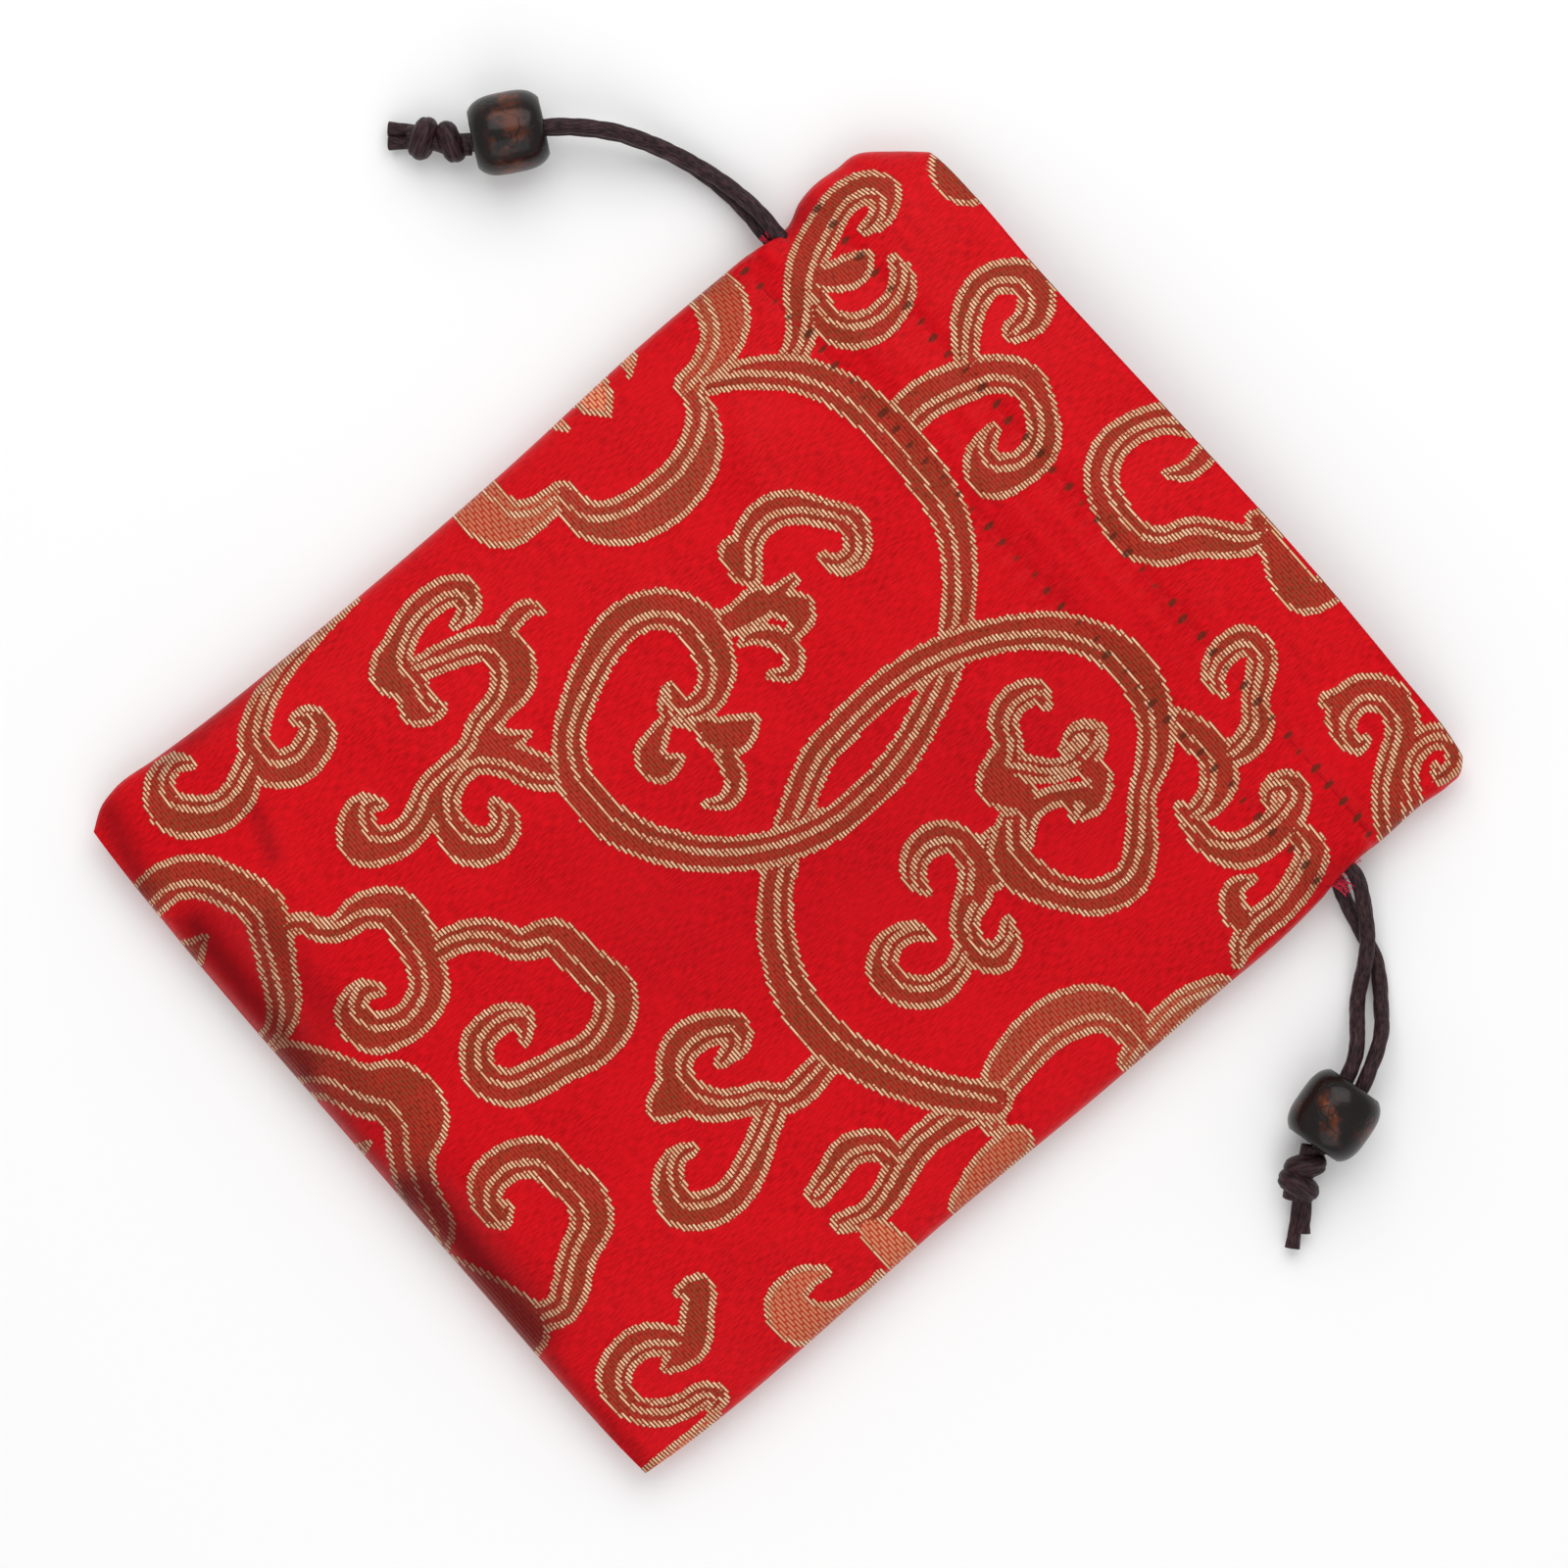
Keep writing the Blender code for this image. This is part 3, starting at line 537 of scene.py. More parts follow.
def relief(x, y):
    """The grooves at the stitches, the puckers between them and the cords' ridges in the channel."""
    lower, upper = stitch_rows(x)
    total = 0.0
    for row in (lower, upper):
        off = y - row
        pucker = np.cos(2 * np.pi * x / STITCH)
        total = total - GROOVE * np.exp(-(off / 0.9) ** 2) + PUCKER * pucker * np.exp(-(off / 2.2) ** 2)
    middle = (lower + upper) / 2
    for cord in (-CORDS_APART, CORDS_APART):
        total = total + CORD_RIDGE * np.exp(-((y - middle - cord) / 1.3) ** 2)
    frill = smoothstep(y, upper, TABLE_END) * FRILL * np.sin(x / 4.1 + 0.6 * np.sin(x / 9))
    return total + frill


def strokes(table, x, y):
    """The sum of soft-edged straight strokes, each (from, to, half width, height)."""
    total = 0.0
    for start, end, width, height in table:
        ax, ay, bx, by = *start, *end
        step = np.array([bx - ax, by - ay], float)
        near = np.clip(((x - ax) * step[0] + (y - ay) * step[1]) / (step @ step), 0, 1)
        off = np.hypot(x - ax - near * step[0], y - ay - near * step[1])
        total = total + height * np.exp(-(off / width) ** 2)
    return total


def creases(x, y):
    waves = 0.26 * soft_noise(x, y, 12, 3) + 0.08 * soft_noise(x, y, 4.5, 4)
    return waves + CREASE_RISE * strokes(CREASES, x, y)


def slit_opening(y, slit):
    return np.sqrt(np.maximum(0, 1 - ((y - slit[0]) / slit[1]) ** 2))


def panel_grid(front):
    """One panel's grid, row by row from its hem's end to the bottom fold: x, y, z and whether in the hem."""
    turned_in = np.linspace(HALF_LENGTH - HEM_LENGTH, HEM_TOP, HEM_ROWS)
    hem_ys = np.concatenate([turned_in, HEM_TOP + HEM_TURN * np.sin(np.linspace(0, np.pi / 2, 4)[1:])])
    rows = round(2 * HALF_LENGTH / ROW)
    face_ys = HALF_LENGTH - np.arange(0, rows + 1) * (2 * HALF_LENGTH / rows)
    nominal = np.concatenate([hem_ys, face_ys])
    in_hem = np.concatenate([np.ones(len(hem_ys)), np.zeros(len(face_ys))])
    columns = round(2 * HALF_WIDTH / COLUMN)
    share = np.linspace(-1, 1, columns + 1)
    share = (1 - COLUMN_EASE) * share + COLUMN_EASE * np.sin(np.pi / 2 * share)
    y0 = np.repeat(nominal[:, None], columns + 1, 1)
    across = np.repeat(share[None], len(nominal), 0)
    hem = np.repeat(in_hem[:, None], columns + 1, 1)
    left, right = along(LEFT_EDGE, y0), along(RIGHT_EDGE, y0)
    left = left + SLIT_NOTCH * slit_opening(y0, LEFT_SLIT)
    right = right - SLIT_NOTCH * slit_opening(y0, RIGHT_SLIT)
    x = (left + right) / 2 + (right - left) / 2 * across
    y = (y0 + (along(MOUTH_EDGE, x) - TABLE_END) * smoothstep(y0, END_BLEND, TABLE_END)
         + (along(FOLD_EDGE, x) + TABLE_END) * smoothstep(-y0, END_BLEND, TABLE_END))
    if not front:
        shows = smoothstep(x, 0, 30) * (1 - smoothstep(x, 40, 50))
        y = y + BACK_SHOWS * shows * smoothstep(y0, 64, TABLE_END)
    z = front_height(x, y, across) if front else back_height(x, y, across)
    sign = 1 if front else -1
    lift = SLIT_LIFT * (slit_opening(y0, LEFT_SLIT) * np.exp(-(1 + across) * SLIT_FALL)
                        + slit_opening(y0, RIGHT_SLIT) * np.exp(-(1 - across) * SLIT_FALL))
    z = z + sign * np.minimum(lift, SLIT_LIFT)
    lower, upper = stitch_rows(x)
    in_channel = smoothstep(y, lower, lower + 1.6) * (1 - smoothstep(y, upper - 1.6, upper))
    drop = HEM_TURN + (HEM_DROP - HEM_TURN) * smoothstep(TABLE_END - y, 0.2, 1.5)
    drop = drop + (CHANNEL_DROP - HEM_DROP) * in_channel
    z = z - sign * hem * drop * np.sqrt(np.maximum(0, 1 - np.abs(across) ** 6))
    return x - hem * across * HEM_NARROWER, y, z, hem


def cloth_panel(name, front, material):
    """One side of the cloth: a grid whose rows are the weave's, with the figure kept on its corners."""
    x, y, z, hem = panel_grid(front)
    rows, columns = x.shape[0] - 1, x.shape[1] - 1
    cx, cy = (x[:-1] + x[1:]) / 2, (y[:-1] + y[1:]) / 2
    outside, inner, pale = figure_fields(cx if front else -cx, cy)
    outside, inner = float_share(outside, cx), float_share(inner, cx)
    gold = (outside < 0) & ((outside > -1) | (np.abs(inner) < 0.5))
    raised = FIGURE_RISE * (outside < 0) + FLOAT_RISE * gold
    corner_rise = np.zeros(x.shape)
    corner_rise[:-1] += raised / 2
    corner_rise[1:] += raised / 2
    z = z + np.where(hem > 0.5, 0, corner_rise * (1 if front else -BACK_SHARE))
    z = np.maximum(z, ABOVE_TABLE)
    verts = np.stack([x, y, z], -1).reshape(-1, 3)
    width = columns + 1
    index = np.arange(rows)[:, None] * width + np.arange(columns)[None]
    order = (0, width, width + 1, 1) if front else (0, 1, width + 1, width)
    faces = np.stack([index + step for step in order], -1).reshape(-1, 4)
    made = make_object(name, verts, faces.tolist(), material)
    mesh = made.data
    right_first = (0, 0, 1, 1) if front else (0, 1, 1, 0)
    down_first = (0, 1, 1, 0) if front else (0, 0, 1, 1)

    def corners(values):
        return np.stack([values[:, step:columns + step] for step in right_first], -1).ravel()

    for label, values in (("outside", outside), ("inner", inner), ("tone", pale)):
        layer = mesh.attributes.new(label, "FLOAT", "CORNER")
        layer.data.foreach_set("value", corners(values).astype(np.float32))
    lengths = -np.arange(rows + 1, dtype=float)[:, None] * np.ones((1, width))
    u, v = (np.stack([values[down:rows + down, right:columns + right]
                      for down, right in zip(down_first, right_first)], -1) for values in (x, lengths))
    layer = mesh.uv_layers.new(name="thread")
    layer.data.foreach_set("uv", np.stack([u / UV_UNIT, v / UV_UNIT], -1).astype(np.float32).ravel())
    holes = needle_holes(x, y) * (1 - hem)
    # Painted shade, on the front only, kept as the shade attribute.
    dark = np.clip(strokes(PAINTED_SHADE, x, y), 0, DEEPEST_SHADE) * (1 if front else 0)
    for label, values in (("hole", holes), ("shade", dark)):
        layer = mesh.attributes.new(label, "FLOAT", "POINT")
        layer.data.foreach_set("value", values.astype(np.float32).ravel())
    return made


def needle_holes(x, y):
    """How deep each point lies in a needle hole: 0 outside, and about 1 in the middle."""
    random = np.random.default_rng(11)
    total = 0.0
    for row in stitch_rows(x):
        place = np.round(x / STITCH).astype(int)
        depth = random.uniform(0.7, 1.35, 64)[place % 64]
        drift = random.uniform(-0.25, 0.25, 64)[place % 64]
        off = x - place * STITCH - drift
        total = total + depth * np.exp(-(off / 0.42) ** 2 - ((y - row - drift) / 0.85) ** 2)
    return total


# ---------------- materials

class Nodes:
    """Short calls for building a material's node tree."""

    def __init__(self, name):
        self.material = bpy.data.materials.new(name)
        self.material.use_nodes = True
        self.tree = self.material.node_tree
        self.shader = self.tree.nodes["Principled BSDF"]

    def link(self, value, socket):
        """Joins a socket to another, or sets it to a number or an (r, g, b) colour."""
        if isinstance(value, bpy.types.NodeSocket):
            self.tree.links.new(value, socket)
        else:
            socket.default_value = (*value, 1) if isinstance(value, tuple) else value

    def math(self, kind, a, b=0.0):
        node = self.tree.nodes.new("ShaderNodeMath")
        node.operation = kind
        for value, socket in zip((a, b), node.inputs):
            self.link(value, socket)
        return node.outputs[0]

    def times(self, a, b):
        return self.math("MULTIPLY", a, b)

    def plus(self, a, b):
        return self.math("ADD", a, b)

    def minus(self, a, b):
        return self.math("SUBTRACT", a, b)

    def off_middle(self, value):
        """How far a value is from a half."""
        return self.math("ABSOLUTE", self.minus(value, 0.5))

    def floor(self, a, step=None):
        return self.math("FLOOR", a if step is None else self.math("DIVIDE", a, step))

    def between(self, value, low, high):
        """0 below low, 1 above high, and smooth between."""
        node = self.tree.nodes.new("ShaderNodeMapRange")
        node.interpolation_type = "SMOOTHSTEP"
        self.link(value, node.inputs["Value"])
        node.inputs["From Min"].default_value = low
        node.inputs["From Max"].default_value = high
        return node.outputs["Result"]

    def mix(self, share, a, b):
        node = self.tree.nodes.new("ShaderNodeMix")
        node.data_type = "RGBA"
        self.link(share, node.inputs["Factor"])
        self.link(a, node.inputs["A"])
        self.link(b, node.inputs["B"])
        return node.outputs["Result"]

    def mix_value(self, share, a, b):
        node = self.tree.nodes.new("ShaderNodeMix")
        self.link(share, node.inputs["Factor"])
        self.link(a, node.inputs["A"])
        self.link(b, node.inputs["B"])
        return node.outputs["Result"]

    def attribute(self, name):
        node = self.tree.nodes.new("ShaderNodeAttribute")
        node.attribute_name = name
        return node.outputs["Fac"]

    def thread(self):
        """The two UV values, as separate numbers."""
        node = self.tree.nodes.new("ShaderNodeUVMap")
        node.uv_map = "thread"
        split = self.tree.nodes.new("ShaderNodeSeparateXYZ")
        self.tree.links.new(node.outputs[0], split.inputs[0])
        return split.outputs[0], split.outputs[1]

    def place(self):
        node = self.tree.nodes.new("ShaderNodeTexCoord")
        return node.outputs["Object"]

    def vector(self, x, y, z=0.0):
        node = self.tree.nodes.new("ShaderNodeCombineXYZ")
        for value, socket in zip((x, y, z), node.inputs):
            self.link(value, socket)
        return node.outputs[0]

    def noise(self, vector, scale, detail=2.0, rough=0.5):
        node = self.tree.nodes.new("ShaderNodeTexNoise")
        self.link(vector, node.inputs["Vector"])
        node.inputs["Scale"].default_value = scale
        node.inputs["Detail"].default_value = detail
        node.inputs["Roughness"].default_value = rough
        return node.outputs["Fac"]

    def random(self, *values):
        node = self.tree.nodes.new("ShaderNodeTexWhiteNoise")
        node.noise_dimensions = "3D"
        self.link(self.vector(*values), node.inputs["Vector"])
        return node.outputs["Value"]

    def bump(self, height, distance, strength=1.0):
        node = self.tree.nodes.new("ShaderNodeBump")
        node.inputs["Distance"].default_value = distance
        node.inputs["Strength"].default_value = strength
        self.link(height, node.inputs["Height"])
        self.tree.links.new(node.outputs[0], self.shader.inputs["Normal"])

    def finish(self, colour, roughness, **constants):
        self.link(colour, self.shader.inputs["Base Color"])
        self.link(roughness, self.shader.inputs["Roughness"])
        for name, value in constants.items():
            self.shader.inputs[name.replace("_", " ").title().replace("Ior", "IOR")].default_value = value
        return self.material


def brocade_material():
    n = Nodes("red_brocade")
    u, v = n.thread()
    u, v = n.times(u, UV_UNIT), n.times(v, UV_UNIT)
    row = n.floor(v)
    middle = n.off_middle(n.minus(v, row))
    thread = n.between(middle, 0.38, 0.22)
    round_thread = n.between(middle, 0.5, 0.0)
    jitter = n.minus(n.random(row, n.floor(u, 2.0), 2.0), 0.5)
    wobble = n.times(jitter, 0.22)
    outside = n.plus(n.attribute("outside"), wobble)
    inner = n.math("ABSOLUTE", n.plus(n.attribute("inner"), wobble))
    inside = n.between(outside, 0.04, -0.04)
    outline, line = n.between(outside, -1.04, -0.96), n.between(inner, 0.54, 0.46)
    gold = n.times(inside, n.math("MAXIMUM", outline, line))
    tie = n.math("FRACT", n.plus(n.math("DIVIDE", u, 3.4), n.times(n.random(row, 3.0, 7.0), 5.0)))
    gold = n.times(gold, n.between(n.off_middle(tie), 0.01, 0.03))

    twill = n.math("FRACT", n.plus(n.math("DIVIDE", u, 1.9), n.times(row, 0.37)))
    twill = n.between(n.off_middle(twill), 0.46, 0.38)
    patch = n.noise(n.vector(u, n.times(v, ROW)), 0.14, 3)
    speck = n.noise(n.vector(n.times(u, 1.6), n.times(v, 1.3)), 1.0, 2)
    warp = n.mix(n.between(speck, 0.3, 0.7), (0.19, 0.014, 0.007), (0.46, 0.020, 0.013))
    weft = n.mix(n.between(patch, 0.35, 0.65), (0.22, 0.058, 0.020), (0.40, 0.045, 0.022))
    fill = n.mix(n.times(twill, n.times(thread, 0.8)), warp, weft)
    tone = n.between(n.attribute("tone"), 0.0, 1.3)
    salmon = n.mix(n.times(twill, thread), (0.52, 0.060, 0.030), (0.82, 0.34, 0.17))
    fill = n.mix(tone, fill, salmon)
    # Painted shade in the gaps between weft rows: the fill darkens toward each row's edge.
    fill = n.mix(n.times(n.between(middle, 0.32, 0.5), 0.45), fill, (0.10, 0.006, 0.004))

    fine = n.noise(n.vector(n.times(u, 5.0), n.times(v, 0.34)), 1.0, 2)
    broad = n.noise(n.vector(u, n.times(v, ROW)), 0.09, 3)
    red = n.mix(n.between(fine, 0.30, 0.66), (0.38, 0.0012, 0.004), (0.62, 0.003, 0.008))
    red = n.mix(n.times(n.between(broad, 0.35, 0.7), 0.35), red, (0.66, 0.004, 0.010))

    shine = n.random(row, n.floor(u, 1.3), 5.0)
    gold_colour = n.mix(shine, (0.80, 0.37, 0.19), (1.0, 0.62, 0.38))
    # Painted shade between weft rows: the gold goes dark brown in each gap.
    gold_colour = n.mix(thread, (0.13, 0.014, 0.006), gold_colour)
    colour = n.mix(inside, red, fill)
    colour = n.mix(gold, colour, gold_colour)
    hole = n.attribute("hole")
    # Painted shade in the needle holes: the cloth's colour goes dark brown there.
    colour = n.mix(n.times(n.between(hole, 0.3, 0.7), 0.85), colour, (0.075, 0.018, 0.008))

    # Painted shade: the front darkened toward near black where the shade attribute says.
    colour = n.mix(n.attribute("shade"), colour, (0.085, 0.001, 0.003))

    proud = n.plus(n.times(gold, 0.8), n.plus(0.2, n.times(twill, 0.25)))
    woven = n.times(round_thread, proud)
    height = n.mix_value(inside, n.times(fine, 0.5), woven)
    height = n.minus(height, n.times(hole, 1.5))
    n.bump(height, 0.00012)
    made = n.finish(colour, n.mix_value(gold, 0.42, 0.4), specular_ior_level=0.26)
    n.shader.inputs["Specular Tint"].default_value = (1.0, 0.2, 0.2, 1)
    return made


def cord_material():
    n = Nodes("satin_braid")
    turn, length = n.thread()
    filament = n.noise(n.vector(n.times(turn, 26), n.times(length, 0.9)), 1.0, 2)
    sheen_streak = n.noise(n.vector(n.times(turn, 9), n.times(length, 0.35), 3.0), 1.0, 3)
    cross = n.times(n.plus(n.math("SINE", n.times(length, 14.0)), 1), 0.5)
    colour = n.mix(n.between(filament, 0.35, 0.68), (0.010, 0.005, 0.006), (0.050, 0.021, 0.025))
    # Painted sheen: pale streaks along the cord's length.
    colour = n.mix(n.times(n.between(sheen_streak, 0.55, 0.75), 0.5), colour, (0.10, 0.052, 0.055))
    n.bump(n.plus(filament, n.times(cross, 0.12)), 0.00012)
    return n.finish(colour, 0.5, specular_ior_level=0.16, anisotropic=0.3)


def wood_material():
    n = Nodes("lacquered_wood")
    place = n.place()
    turn, length = n.thread()
    grain = n.noise(n.vector(n.times(turn, 40), n.times(length, 0.5)), 1.0, 3)
    patch = n.noise(place, 210, 3, 0.6)
    middle = n.between(n.math("ABSOLUTE", length), 3.6, 0.8)
    warm = n.times(n.between(patch, 0.46, 0.62), middle)
    warm_grain = n.times(warm, n.between(grain, 0.25, 0.6))
    colour = n.mix(warm_grain, (0.006, 0.0035, 0.003), (0.095, 0.020, 0.006))
    fleck = n.between(n.noise(place, 900, 2), 0.62, 0.7)
    colour = n.mix(n.times(n.times(fleck, warm), 0.6), colour, (0.20, 0.055, 0.016))
    crack = n.noise(n.vector(n.times(turn, 7), n.times(length, 0.16), 4.0), 1.0, 2)
    crack = n.between(n.off_middle(crack), 0.012, 0.002)
    colour = n.mix(n.times(crack, 0.8), colour, (0.004, 0.002, 0.002))
    n.bump(n.minus(n.times(grain, 0.25), crack), 0.00012, 0.4)
    return n.finish(colour, 0.34, coat_weight=0.3, coat_roughness=0.16, specular_ior_level=0.12)


def thread_material(name, dark, light):
    n = Nodes(name)
    turn, length = n.thread()
    twist = n.math("SINE", n.plus(n.times(length, 18.0), n.times(turn, 6.283)))
    # Painted light and shade: lighter on the twist's ridges, darker in its grooves.
    colour = n.mix(n.between(twist, -0.6, 0.8), dark, light)
    n.bump(twist, 0.00003)
    return n.finish(colour, 0.7, specular_ior_level=0.1)


def floor_material():
    n = Nodes("pale_floor")
    tone = n.noise(n.place(), 3.0, 2)
    return n.finish(n.mix(tone, (0.86, 0.86, 0.86), (0.90, 0.90, 0.90)), 0.8)


# ---------------- cords, knots and beads

CORD = 2.0
LEFT_ARC = ((-57.6, 13.2), 33.0)
RIGHT_ARC = ((48.3, 19.5), 30.0)
LEFT_BEAD_ANGLE = 151.1
RIGHT_BEAD_ANGLE = 14.4
LEFT_FRONT_ROUTE = [
    (86.4, 0.60, 5.25), (90.5, 0.55, 5.05), (96.0, 0.40, 4.10), (102.0, 0.25, 3.35),
    (109.0, 0.10, 3.35), (116.0, 0.05, 4.20), (122.5, 0.05, 5.55), (128.0, 0.10, 6.30),
    (136.0, 0.10, 6.40), (144.0, 0.05, 6.40), (152.0, 0.00, 6.40), (159.9, 0.00, 6.30),
]
LEFT_BACK_ROUTE = [
    (86.4, -0.60, 2.95), (90.5, -0.55, 2.60), (96.0, -0.40, 1.65), (102.0, -0.25, 1.02),
    (109.0, -0.10, 1.02), (116.0, -0.05, 1.90), (122.5, -0.05, 3.20), (128.0, 0.00, 3.95),
    (136.0, 0.00, 4.10), (144.0, 0.00, 4.10), (152.0, 0.00, 4.10), (159.9, 0.00, 4.15),
]
RIGHT_FRONT_ROUTE = [
    (75.9, 0.55, 5.25), (72.4, 0.50, 4.75), (66.2, 0.05, 3.75), (60.5, -0.35, 3.35),
    (55.0, -0.95, 3.15), (49.0, -1.60, 1.75), (43.8, -1.90, 1.40), (38.5, -1.75, 3.40),
    (33.5, -1.30, 4.90), (29.0, -0.98, 5.25), (23.0, -0.98, 5.25), (14.4, -0.98, 5.25),
    (5.4, -0.98, 5.20),
]
RIGHT_BACK_ROUTE = [
    (75.6, -1.65, 2.95), (71.8, -1.75, 2.35), (66.6, -1.40, 1.30), (61.2, -0.75, 1.02),
    (57.2, -0.05, 1.02), (53.0, 0.55, 1.02), (48.0, 0.90, 1.02), (43.5, 1.15, 1.30),
    (38.0, 1.50, 3.40), (33.5, 1.45, 4.90), (29.0, 1.33, 5.25), (23.0, 1.33, 5.25),
    (14.4, 1.33, 5.25), (5.4, 1.33, 5.20),
]
LEAD = 2.4
LEFT_KNOT = ((-91.85, 21.75, 3.35), 222.0)
RIGHT_KNOT = ((80.6, 19.0, 3.35), 300.0)


def braid(turn, length):
    """A round braid's surface: four strands each way, crossing over and under."""
    angle = 2 * np.pi * turn
    one = np.cos(4 * angle + 2 * np.pi * length / 3.4)
    other = np.cos(4 * angle - 2 * np.pi * length / 3.4)
    return 1 + 0.045 * np.maximum(one, other) - 0.02


def arc_route(arc, route):
    (cx, cy), radius = arc
    turns = np.radians([place[0] for place in route])
    away = radius + np.array([place[1] for place in route])
    return np.stack([cx + away * np.cos(turns), cy + away * np.sin(turns), [place[2] for place in route]], -1)


def cord_strand(name, arc, route, side, node, material):
    route = arc_route(arc, route)
    inside = [route[0] + np.array([-side * reach, 0, 0]) for reach in (LEAD, LEAD / 2)]
    path = smooth_curve(np.vstack([inside, route]), 0.28)
    return placed(name, tube_mesh(path, CORD / 2, 24, braid), material, node=node), path


def knot(name, place, spread, tails, node, material):
    """Both strands tied together in one overhand knot: its core, two fat turns and the cut ends."""
    middle, heading = place
    turn = np.array(Matrix.Rotation(math.radians(heading), 3, "Z"))
    core = np.array([(-spread - 2.6, 0, 0.2), (-spread, 0.3, 0), (0, 0, 0), (spread, -0.3, 0),
                     (spread + 2.0, 0, -0.4)])
    parts = [tube_mesh(smooth_curve(core @ turn.T + middle, 0.3), 1.45, 24, paired)]
    for offset, lean, girth in ((-spread, 27, 1.28), (spread, -17, 1.42)):
        swept = np.radians(np.arange(0, 376, 12) - 40)
        lean = math.radians(lean)
        across, away = girth * np.cos(swept), girth * np.sin(swept)
        along_core = offset - across * math.sin(lean) + 0.25 * np.sin(swept / 2)
        ring = np.stack([along_core, across * math.cos(lean), away], -1)
        parts.append(tube_mesh(smooth_curve(ring @ turn.T + middle, 0.3), 1.5, 28, paired))
    for tail in tails:
        path = smooth_curve(tail, 0.28)
        radii = np.full(len(path), CORD / 2 - 0.14)
        radii[-6:] *= np.linspace(1.0, 1.22, 6)
        parts.append(tube_mesh(path, radii, 20, braid))
    verts, faces, uvs = joined(parts)
    verts[:, 2] = np.maximum(verts[:, 2], 0.03)
    return placed(name, (verts, faces, uvs), material, node=node)


def paired(turn, length):
    """Two strands side by side, seen as one fat turn with a shallow groove and fine ribs."""
    angle = 2 * np.pi * turn
    groove = np.exp(-((np.cos(angle) - 0.15) / 0.16) ** 2)
    return 1 - 0.10 * groove + 0.014 * np.sin(11 * angle) + 0.012 * np.sin(length * 3.1 + 2 * angle)


LEFT_TAILS = [
    [(-93.6, 21.3, 2.6), (-95.6, 19.6, 1.9), (-97.2, 18.0, 1.45)],
    [(-93.0, 20.2, 2.6), (-94.5, 18.4, 1.8), (-95.9, 16.9, 1.4)],
]
RIGHT_TAILS = [
    [(81.4, 18.2, 2.6), (84.4, 15.0, 1.6), (87.1, 11.9, 1.4)],
    [(82.0, 18.5, 2.6), (84.8, 15.9, 2.2), (86.4, 14.2, 1.9)],
]


def bead(name, arc, angle, node, body, material):
    """A turned barrel with soft shoulders, slightly out of round, on its side."""
    radius, half_length, face, bore, square, around = 5.25, 4.65, 3.7, 2.6, 0.62, 96
    rim = math.acos((face / radius) ** (1 / square))
    profile = []
    for i in range(28):
        lean = rim * (1 - 2 * i / 27)
        share = abs(math.sin(lean) / math.sin(rim)) ** square
        profile.append((radius * math.cos(lean) ** square, math.copysign(half_length * share, lean)))
    for i in range(1, 5):
        profile.append((face - (face - bore - 0.3) * i / 4, -half_length + 0.04 * math.sin(math.pi * i / 4)))
    for i in range(9):
        profile.append((bore, (-half_length + 0.3) * (1 - 2 * i / 8)))
    for i in range(4):
        profile.append((bore + 0.3 + (face - bore - 0.3) * i / 4, half_length))
    verts, faces, uvs = [], [], []
    count = len(profile)
    for j in range(around):
        turn = 2 * math.pi * j / around
        for r, z in profile:
            outer = r > bore + 0.2
            wobble = 1 + (0.008 * math.sin(2 * turn + 1) + 0.005 * math.sin(3 * turn + z * 0.4)) * outer
            verts.append((r * wobble * math.cos(turn), r * wobble * math.sin(turn), z))
    for j in range(around):
        k = (j + 1) % around
        for i in range(count):
            m = (i + 1) % count
            faces.append((j * count + i, j * count + m, k * count + m, k * count + i))
            low, high = profile[i][1], profile[m][1]
            uvs += [(j / around, low), (j / around, high), ((j + 1) / around, high), ((j + 1) / around, low)]
    lay = np.array(Matrix.Rotation(math.radians(angle + 90), 3, "Z") @ Matrix.Rotation(math.pi / 2, 3, "Y"))
    (cx, cy), arc_radius = arc
    turned = math.radians(angle)
    middle = np.array([cx + arc_radius * math.cos(turned), cy + arc_radius * math.sin(turned), radius])
    verts = np.array(verts) @ lay.T + middle
    verts[:, 2] = np.maximum(verts[:, 2], 0.01)
    return placed(name, (verts, faces, uvs), material, body, node)


# ---------------- threads

def stitches(name, front, material):
    """The sewing thread of both rows, dipping through the cloth at each needle hole."""
    parts = []
    for number in range(2):
        xs = np.arange(-18, 19) * STITCH
        for x in xs:
            steps = np.linspace(0, 1, 7)
            px = x + (0.16 + 0.68 * steps) * STITCH
            py = stitch_rows(px)[number]
            across = px / HALF_WIDTH
            top = front_height(px, py, across) if front else back_height(px, py, across)
            sign = 1 if front else -1
            pz = top + sign * (0.10 * np.sin(np.pi * steps) - 0.10)
            if not front:
                pz = np.maximum(pz, 0.16)
            parts.append(tube_mesh(np.stack([px, py, pz], -1), 0.1, 8))
    placed(name, joined(parts), material)


def frayed_threads(name, spots, seed, material):
    """Loose ends of the cloth's own threads: (x, y, z, heading, spread, count, length) at each spot."""
    random = np.random.default_rng(seed)
    parts = []
    for x, y, z, heading, spread, count, reach in spots:
        for _ in range(count):
            turn = math.radians(heading + random.uniform(-spread, spread))
            length = reach * random.uniform(0.45, 1.0)
            bend = random.uniform(-0.5, 0.5)
            start = np.array([x, y, z]) + random.uniform(-0.7, 0.7, 3) * (0.4, 1.0, 0.5)
            steps = np.linspace(0, 1, 6)
            reachx = start[0] + length * steps * np.cos(turn + bend * steps)
            reachy = start[1] + length * steps * np.sin(turn + bend * steps)
            rise = start[2] + random.uniform(-0.5, 0.6) * steps ** 2
            parts.append(tube_mesh(np.stack([reachx, reachy, rise], -1), 0.055, 6))
    placed(name, joined(parts), material)


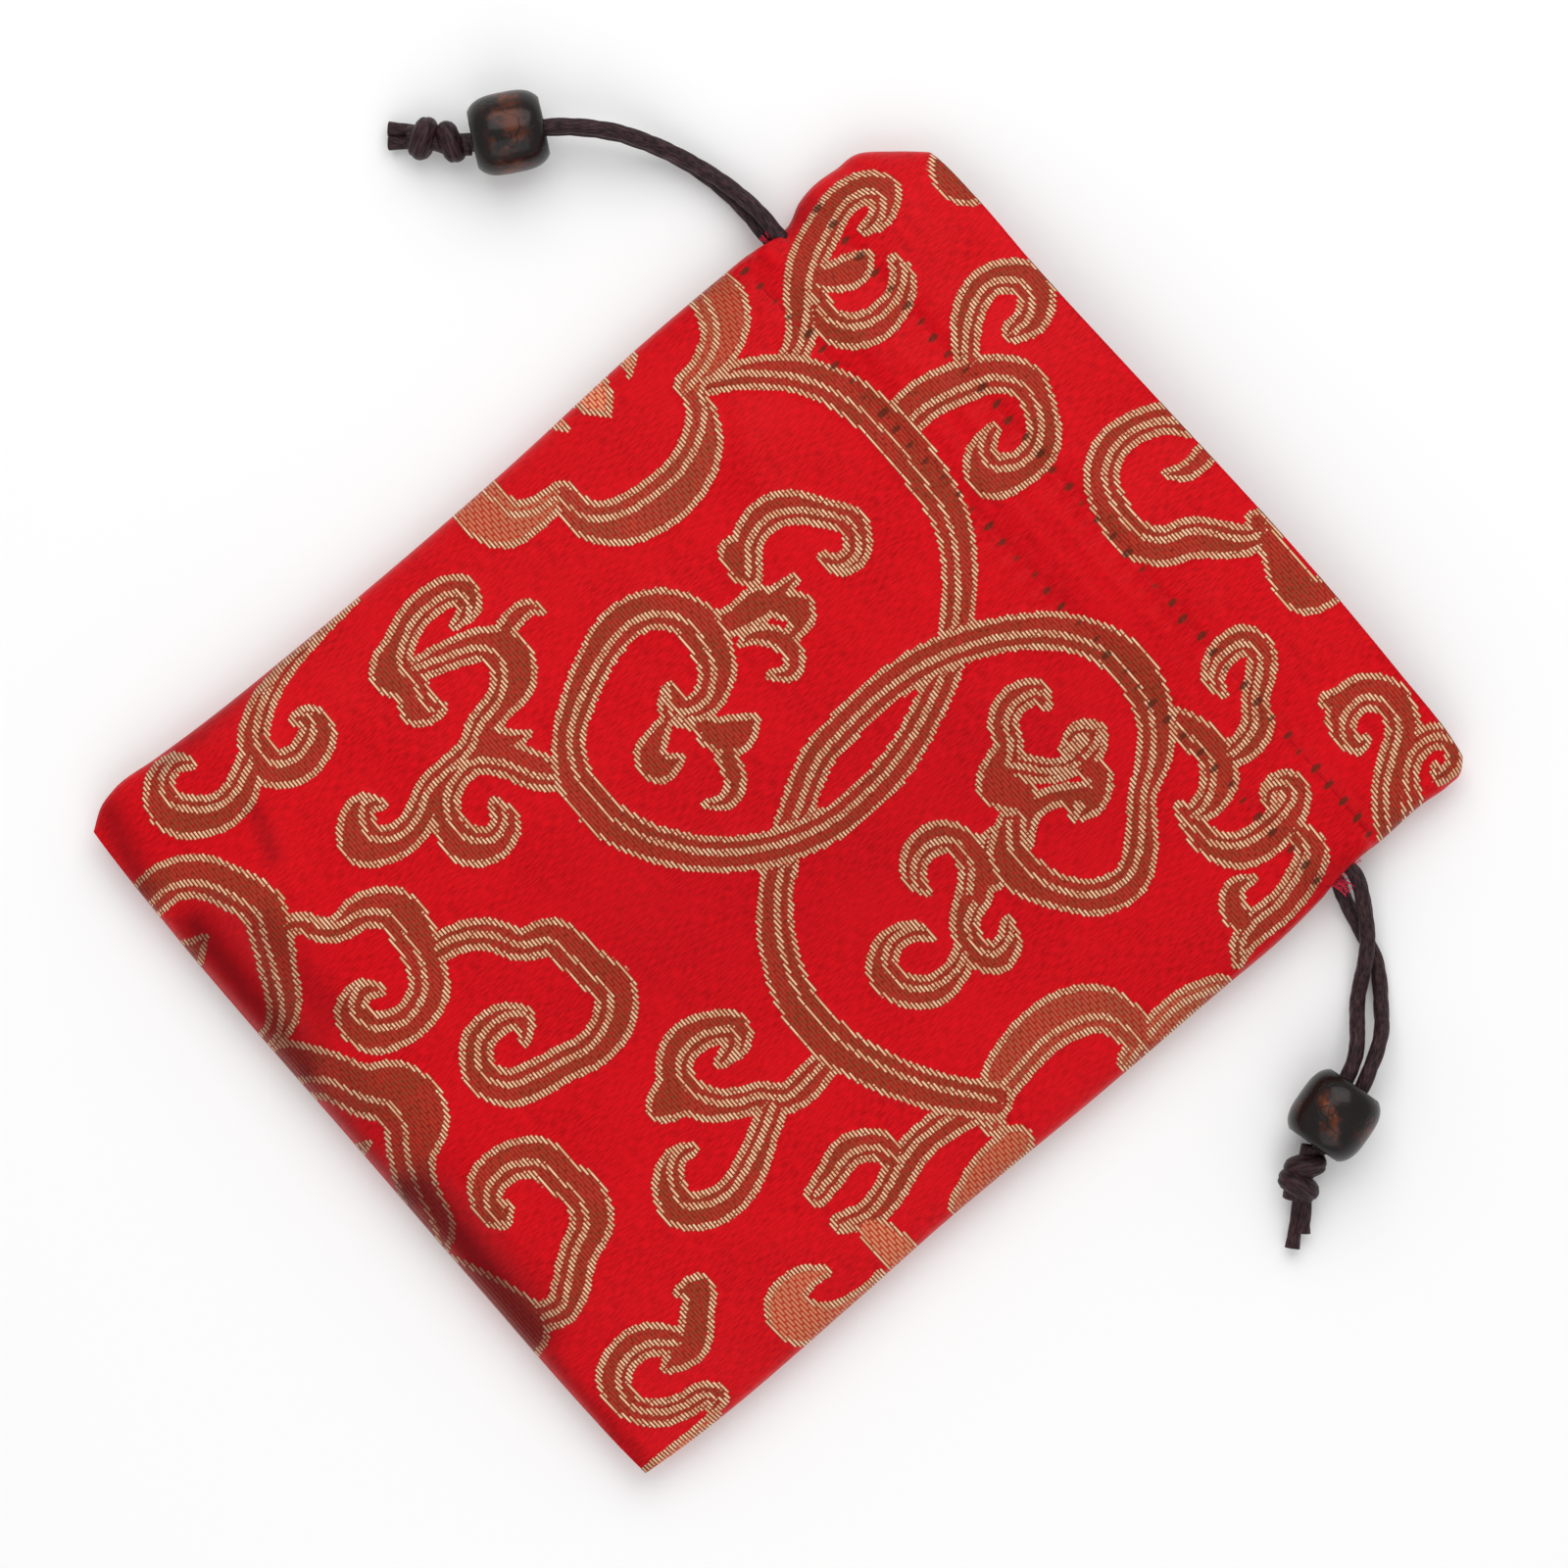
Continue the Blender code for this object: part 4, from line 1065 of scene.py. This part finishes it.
def channel_cord(name, side, starts, node, material):
    """A cord's held part: over the front in the channel, round the far seam and back underneath."""
    shift = -side * CORDS_APART
    first = math.radians(15)
    swept = first + (2 * math.pi - 2 * first) * np.arange(61) / 60
    turn = swept if side < 0 else math.pi - swept
    inset = 1.8
    across = -np.cos(turn)
    x = across * (HALF_WIDTH - inset * (1 + inset / 9.0))
    y = CHANNEL_MIDDLE + CHANNEL_SLANT * x + shift
    crown = np.sqrt(np.maximum(0, 1 - np.abs(across) ** CROWN))
    base = quarter((np.abs(across) - FLAT_SHARE) / (1 - FLAT_SHARE))
    sunk = crown * np.minimum(1.8, 1 / np.sqrt(np.maximum(crown, 1e-6)))
    over = SEAM_HEIGHT + (THICKEST - SEAM_HEIGHT) * crown - inset * sunk
    under = SEAM_HEIGHT - (SEAM_HEIGHT - inset) * base
    z = np.where(np.sin(turn) >= 0, over, under)
    ends = [[starts[0] + np.array([-side * gap, 0, 0]) for gap in (0.0, 0.8)],
            [starts[1] + np.array([-side * gap, 0, 0]) for gap in (0.8, 0.0)]]
    path = smooth_curve(np.vstack([ends[0], np.stack([x, y, z], -1), ends[1]]), 0.5)
    placed(name, tube_mesh(path, CORD / 2 - 0.05, 16, braid), material, node=node)


# ---------------- stage

FLOOR_LEVEL = -0.12


def area_light(name, place, size, power):
    """A rectangular light that faces the middle of the scene."""
    data = bpy.data.lights.new(name, "AREA")
    data.shape = "RECTANGLE"
    data.size, data.size_y = size
    data.energy = power
    made = bpy.data.objects.new(name, data)
    made.location = place
    made.rotation_euler = (-Vector(place)).to_track_quat("-Z", "Y").to_euler()
    bpy.context.scene.collection.objects.link(made)


def stage():
    verts = [(x, y, FLOOR_LEVEL) for x, y in ((-900, -900), (900, -900), (900, 900), (-900, 900))]
    make_object("floor", verts, [(0, 1, 2, 3)], floor_material())
    world = bpy.data.worlds.new("studio")
    world.use_nodes = True
    world.node_tree.nodes["Background"].inputs["Color"].default_value = (1, 1, 1, 1)
    world.node_tree.nodes["Background"].inputs["Strength"].default_value = 0.62
    bpy.context.scene.world = world
    bpy.context.scene.view_settings.view_transform = "Standard"
    area_light("key", (-0.35, 0.35, 0.65), (0.8, 0.7), 3.8)
    area_light("fill", (0.45, -0.30, 0.60), (0.7, 0.7), 1.7)


def camera():
    data = bpy.data.cameras.new("camera")
    data.lens = 150
    data.sensor_width = 36
    made = bpy.data.objects.new("camera", data)
    made.location = (-0.00055, 0.00145, 0.8394)
    made.rotation_euler = (0, 0, math.radians(49.2))
    bpy.context.scene.collection.objects.link(made)
    bpy.context.scene.camera = made


def side_cord(side, arc, routes, knot_place, spread, tails, bead_angle, cord, wood):
    nodes = [f"{side}_cord_front_strand", f"{side}_cord_back_strand"]
    names = [f"{side}_front_cord", f"{side}_back_cord"]
    way = -1 if side == "left" else 1
    strands = [cord_strand(name, arc, route, way, node, cord)
               for name, route, node in zip(names, routes, nodes)]
    tied = knot(f"{side}_overhand_knot", knot_place, spread, tails, f"{side}_knot", cord)
    wooden = bead(f"{side}_wooden_bead", arc, bead_angle, f"{side}_bead", f"{side}_bead", wood)
    channel_cord(f"{side}_channel_cord", way, [path[0] for _, path in strands],
                 f"{side}_cord_in_channel", cord)


def build():
    stage()
    camera()
    cord, wood = cord_material(), wood_material()
    side_cord("left", LEFT_ARC, (LEFT_FRONT_ROUTE, LEFT_BACK_ROUTE), LEFT_KNOT, 1.75, LEFT_TAILS,
              LEFT_BEAD_ANGLE, cord, wood)
    side_cord("right", RIGHT_ARC, (RIGHT_FRONT_ROUTE, RIGHT_BACK_ROUTE), RIGHT_KNOT, 1.3, RIGHT_TAILS,
              RIGHT_BEAD_ANGLE, cord, wood)
    brocade = brocade_material()
    front = cloth_panel("cloth_front", True, brocade)
    back = cloth_panel("cloth_back", False, brocade)
    red_thread = thread_material("sewing_thread", (0.40, 0.004, 0.008), (0.62, 0.006, 0.014))
    pink_thread = thread_material("frayed_silk", (0.55, 0.01, 0.04), (0.80, 0.05, 0.10))
    stitches("front_stitches", True, red_thread)
    stitches("back_stitches", False, red_thread)
    for panel in (front, back):
        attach(panel, "pouch")
        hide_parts("pouch_cloth")
    frayed_threads("frayed_threads", [
        (54.9, 46.6, 5.4, 25, 45, 18, 2.4), (54.4, 50.0, 6.0, 70, 60, 5, 1.2),
        (-54.6, 45.6, 5.2, 170, 60, 9, 1.2),
    ], 5, pink_thread)


build()
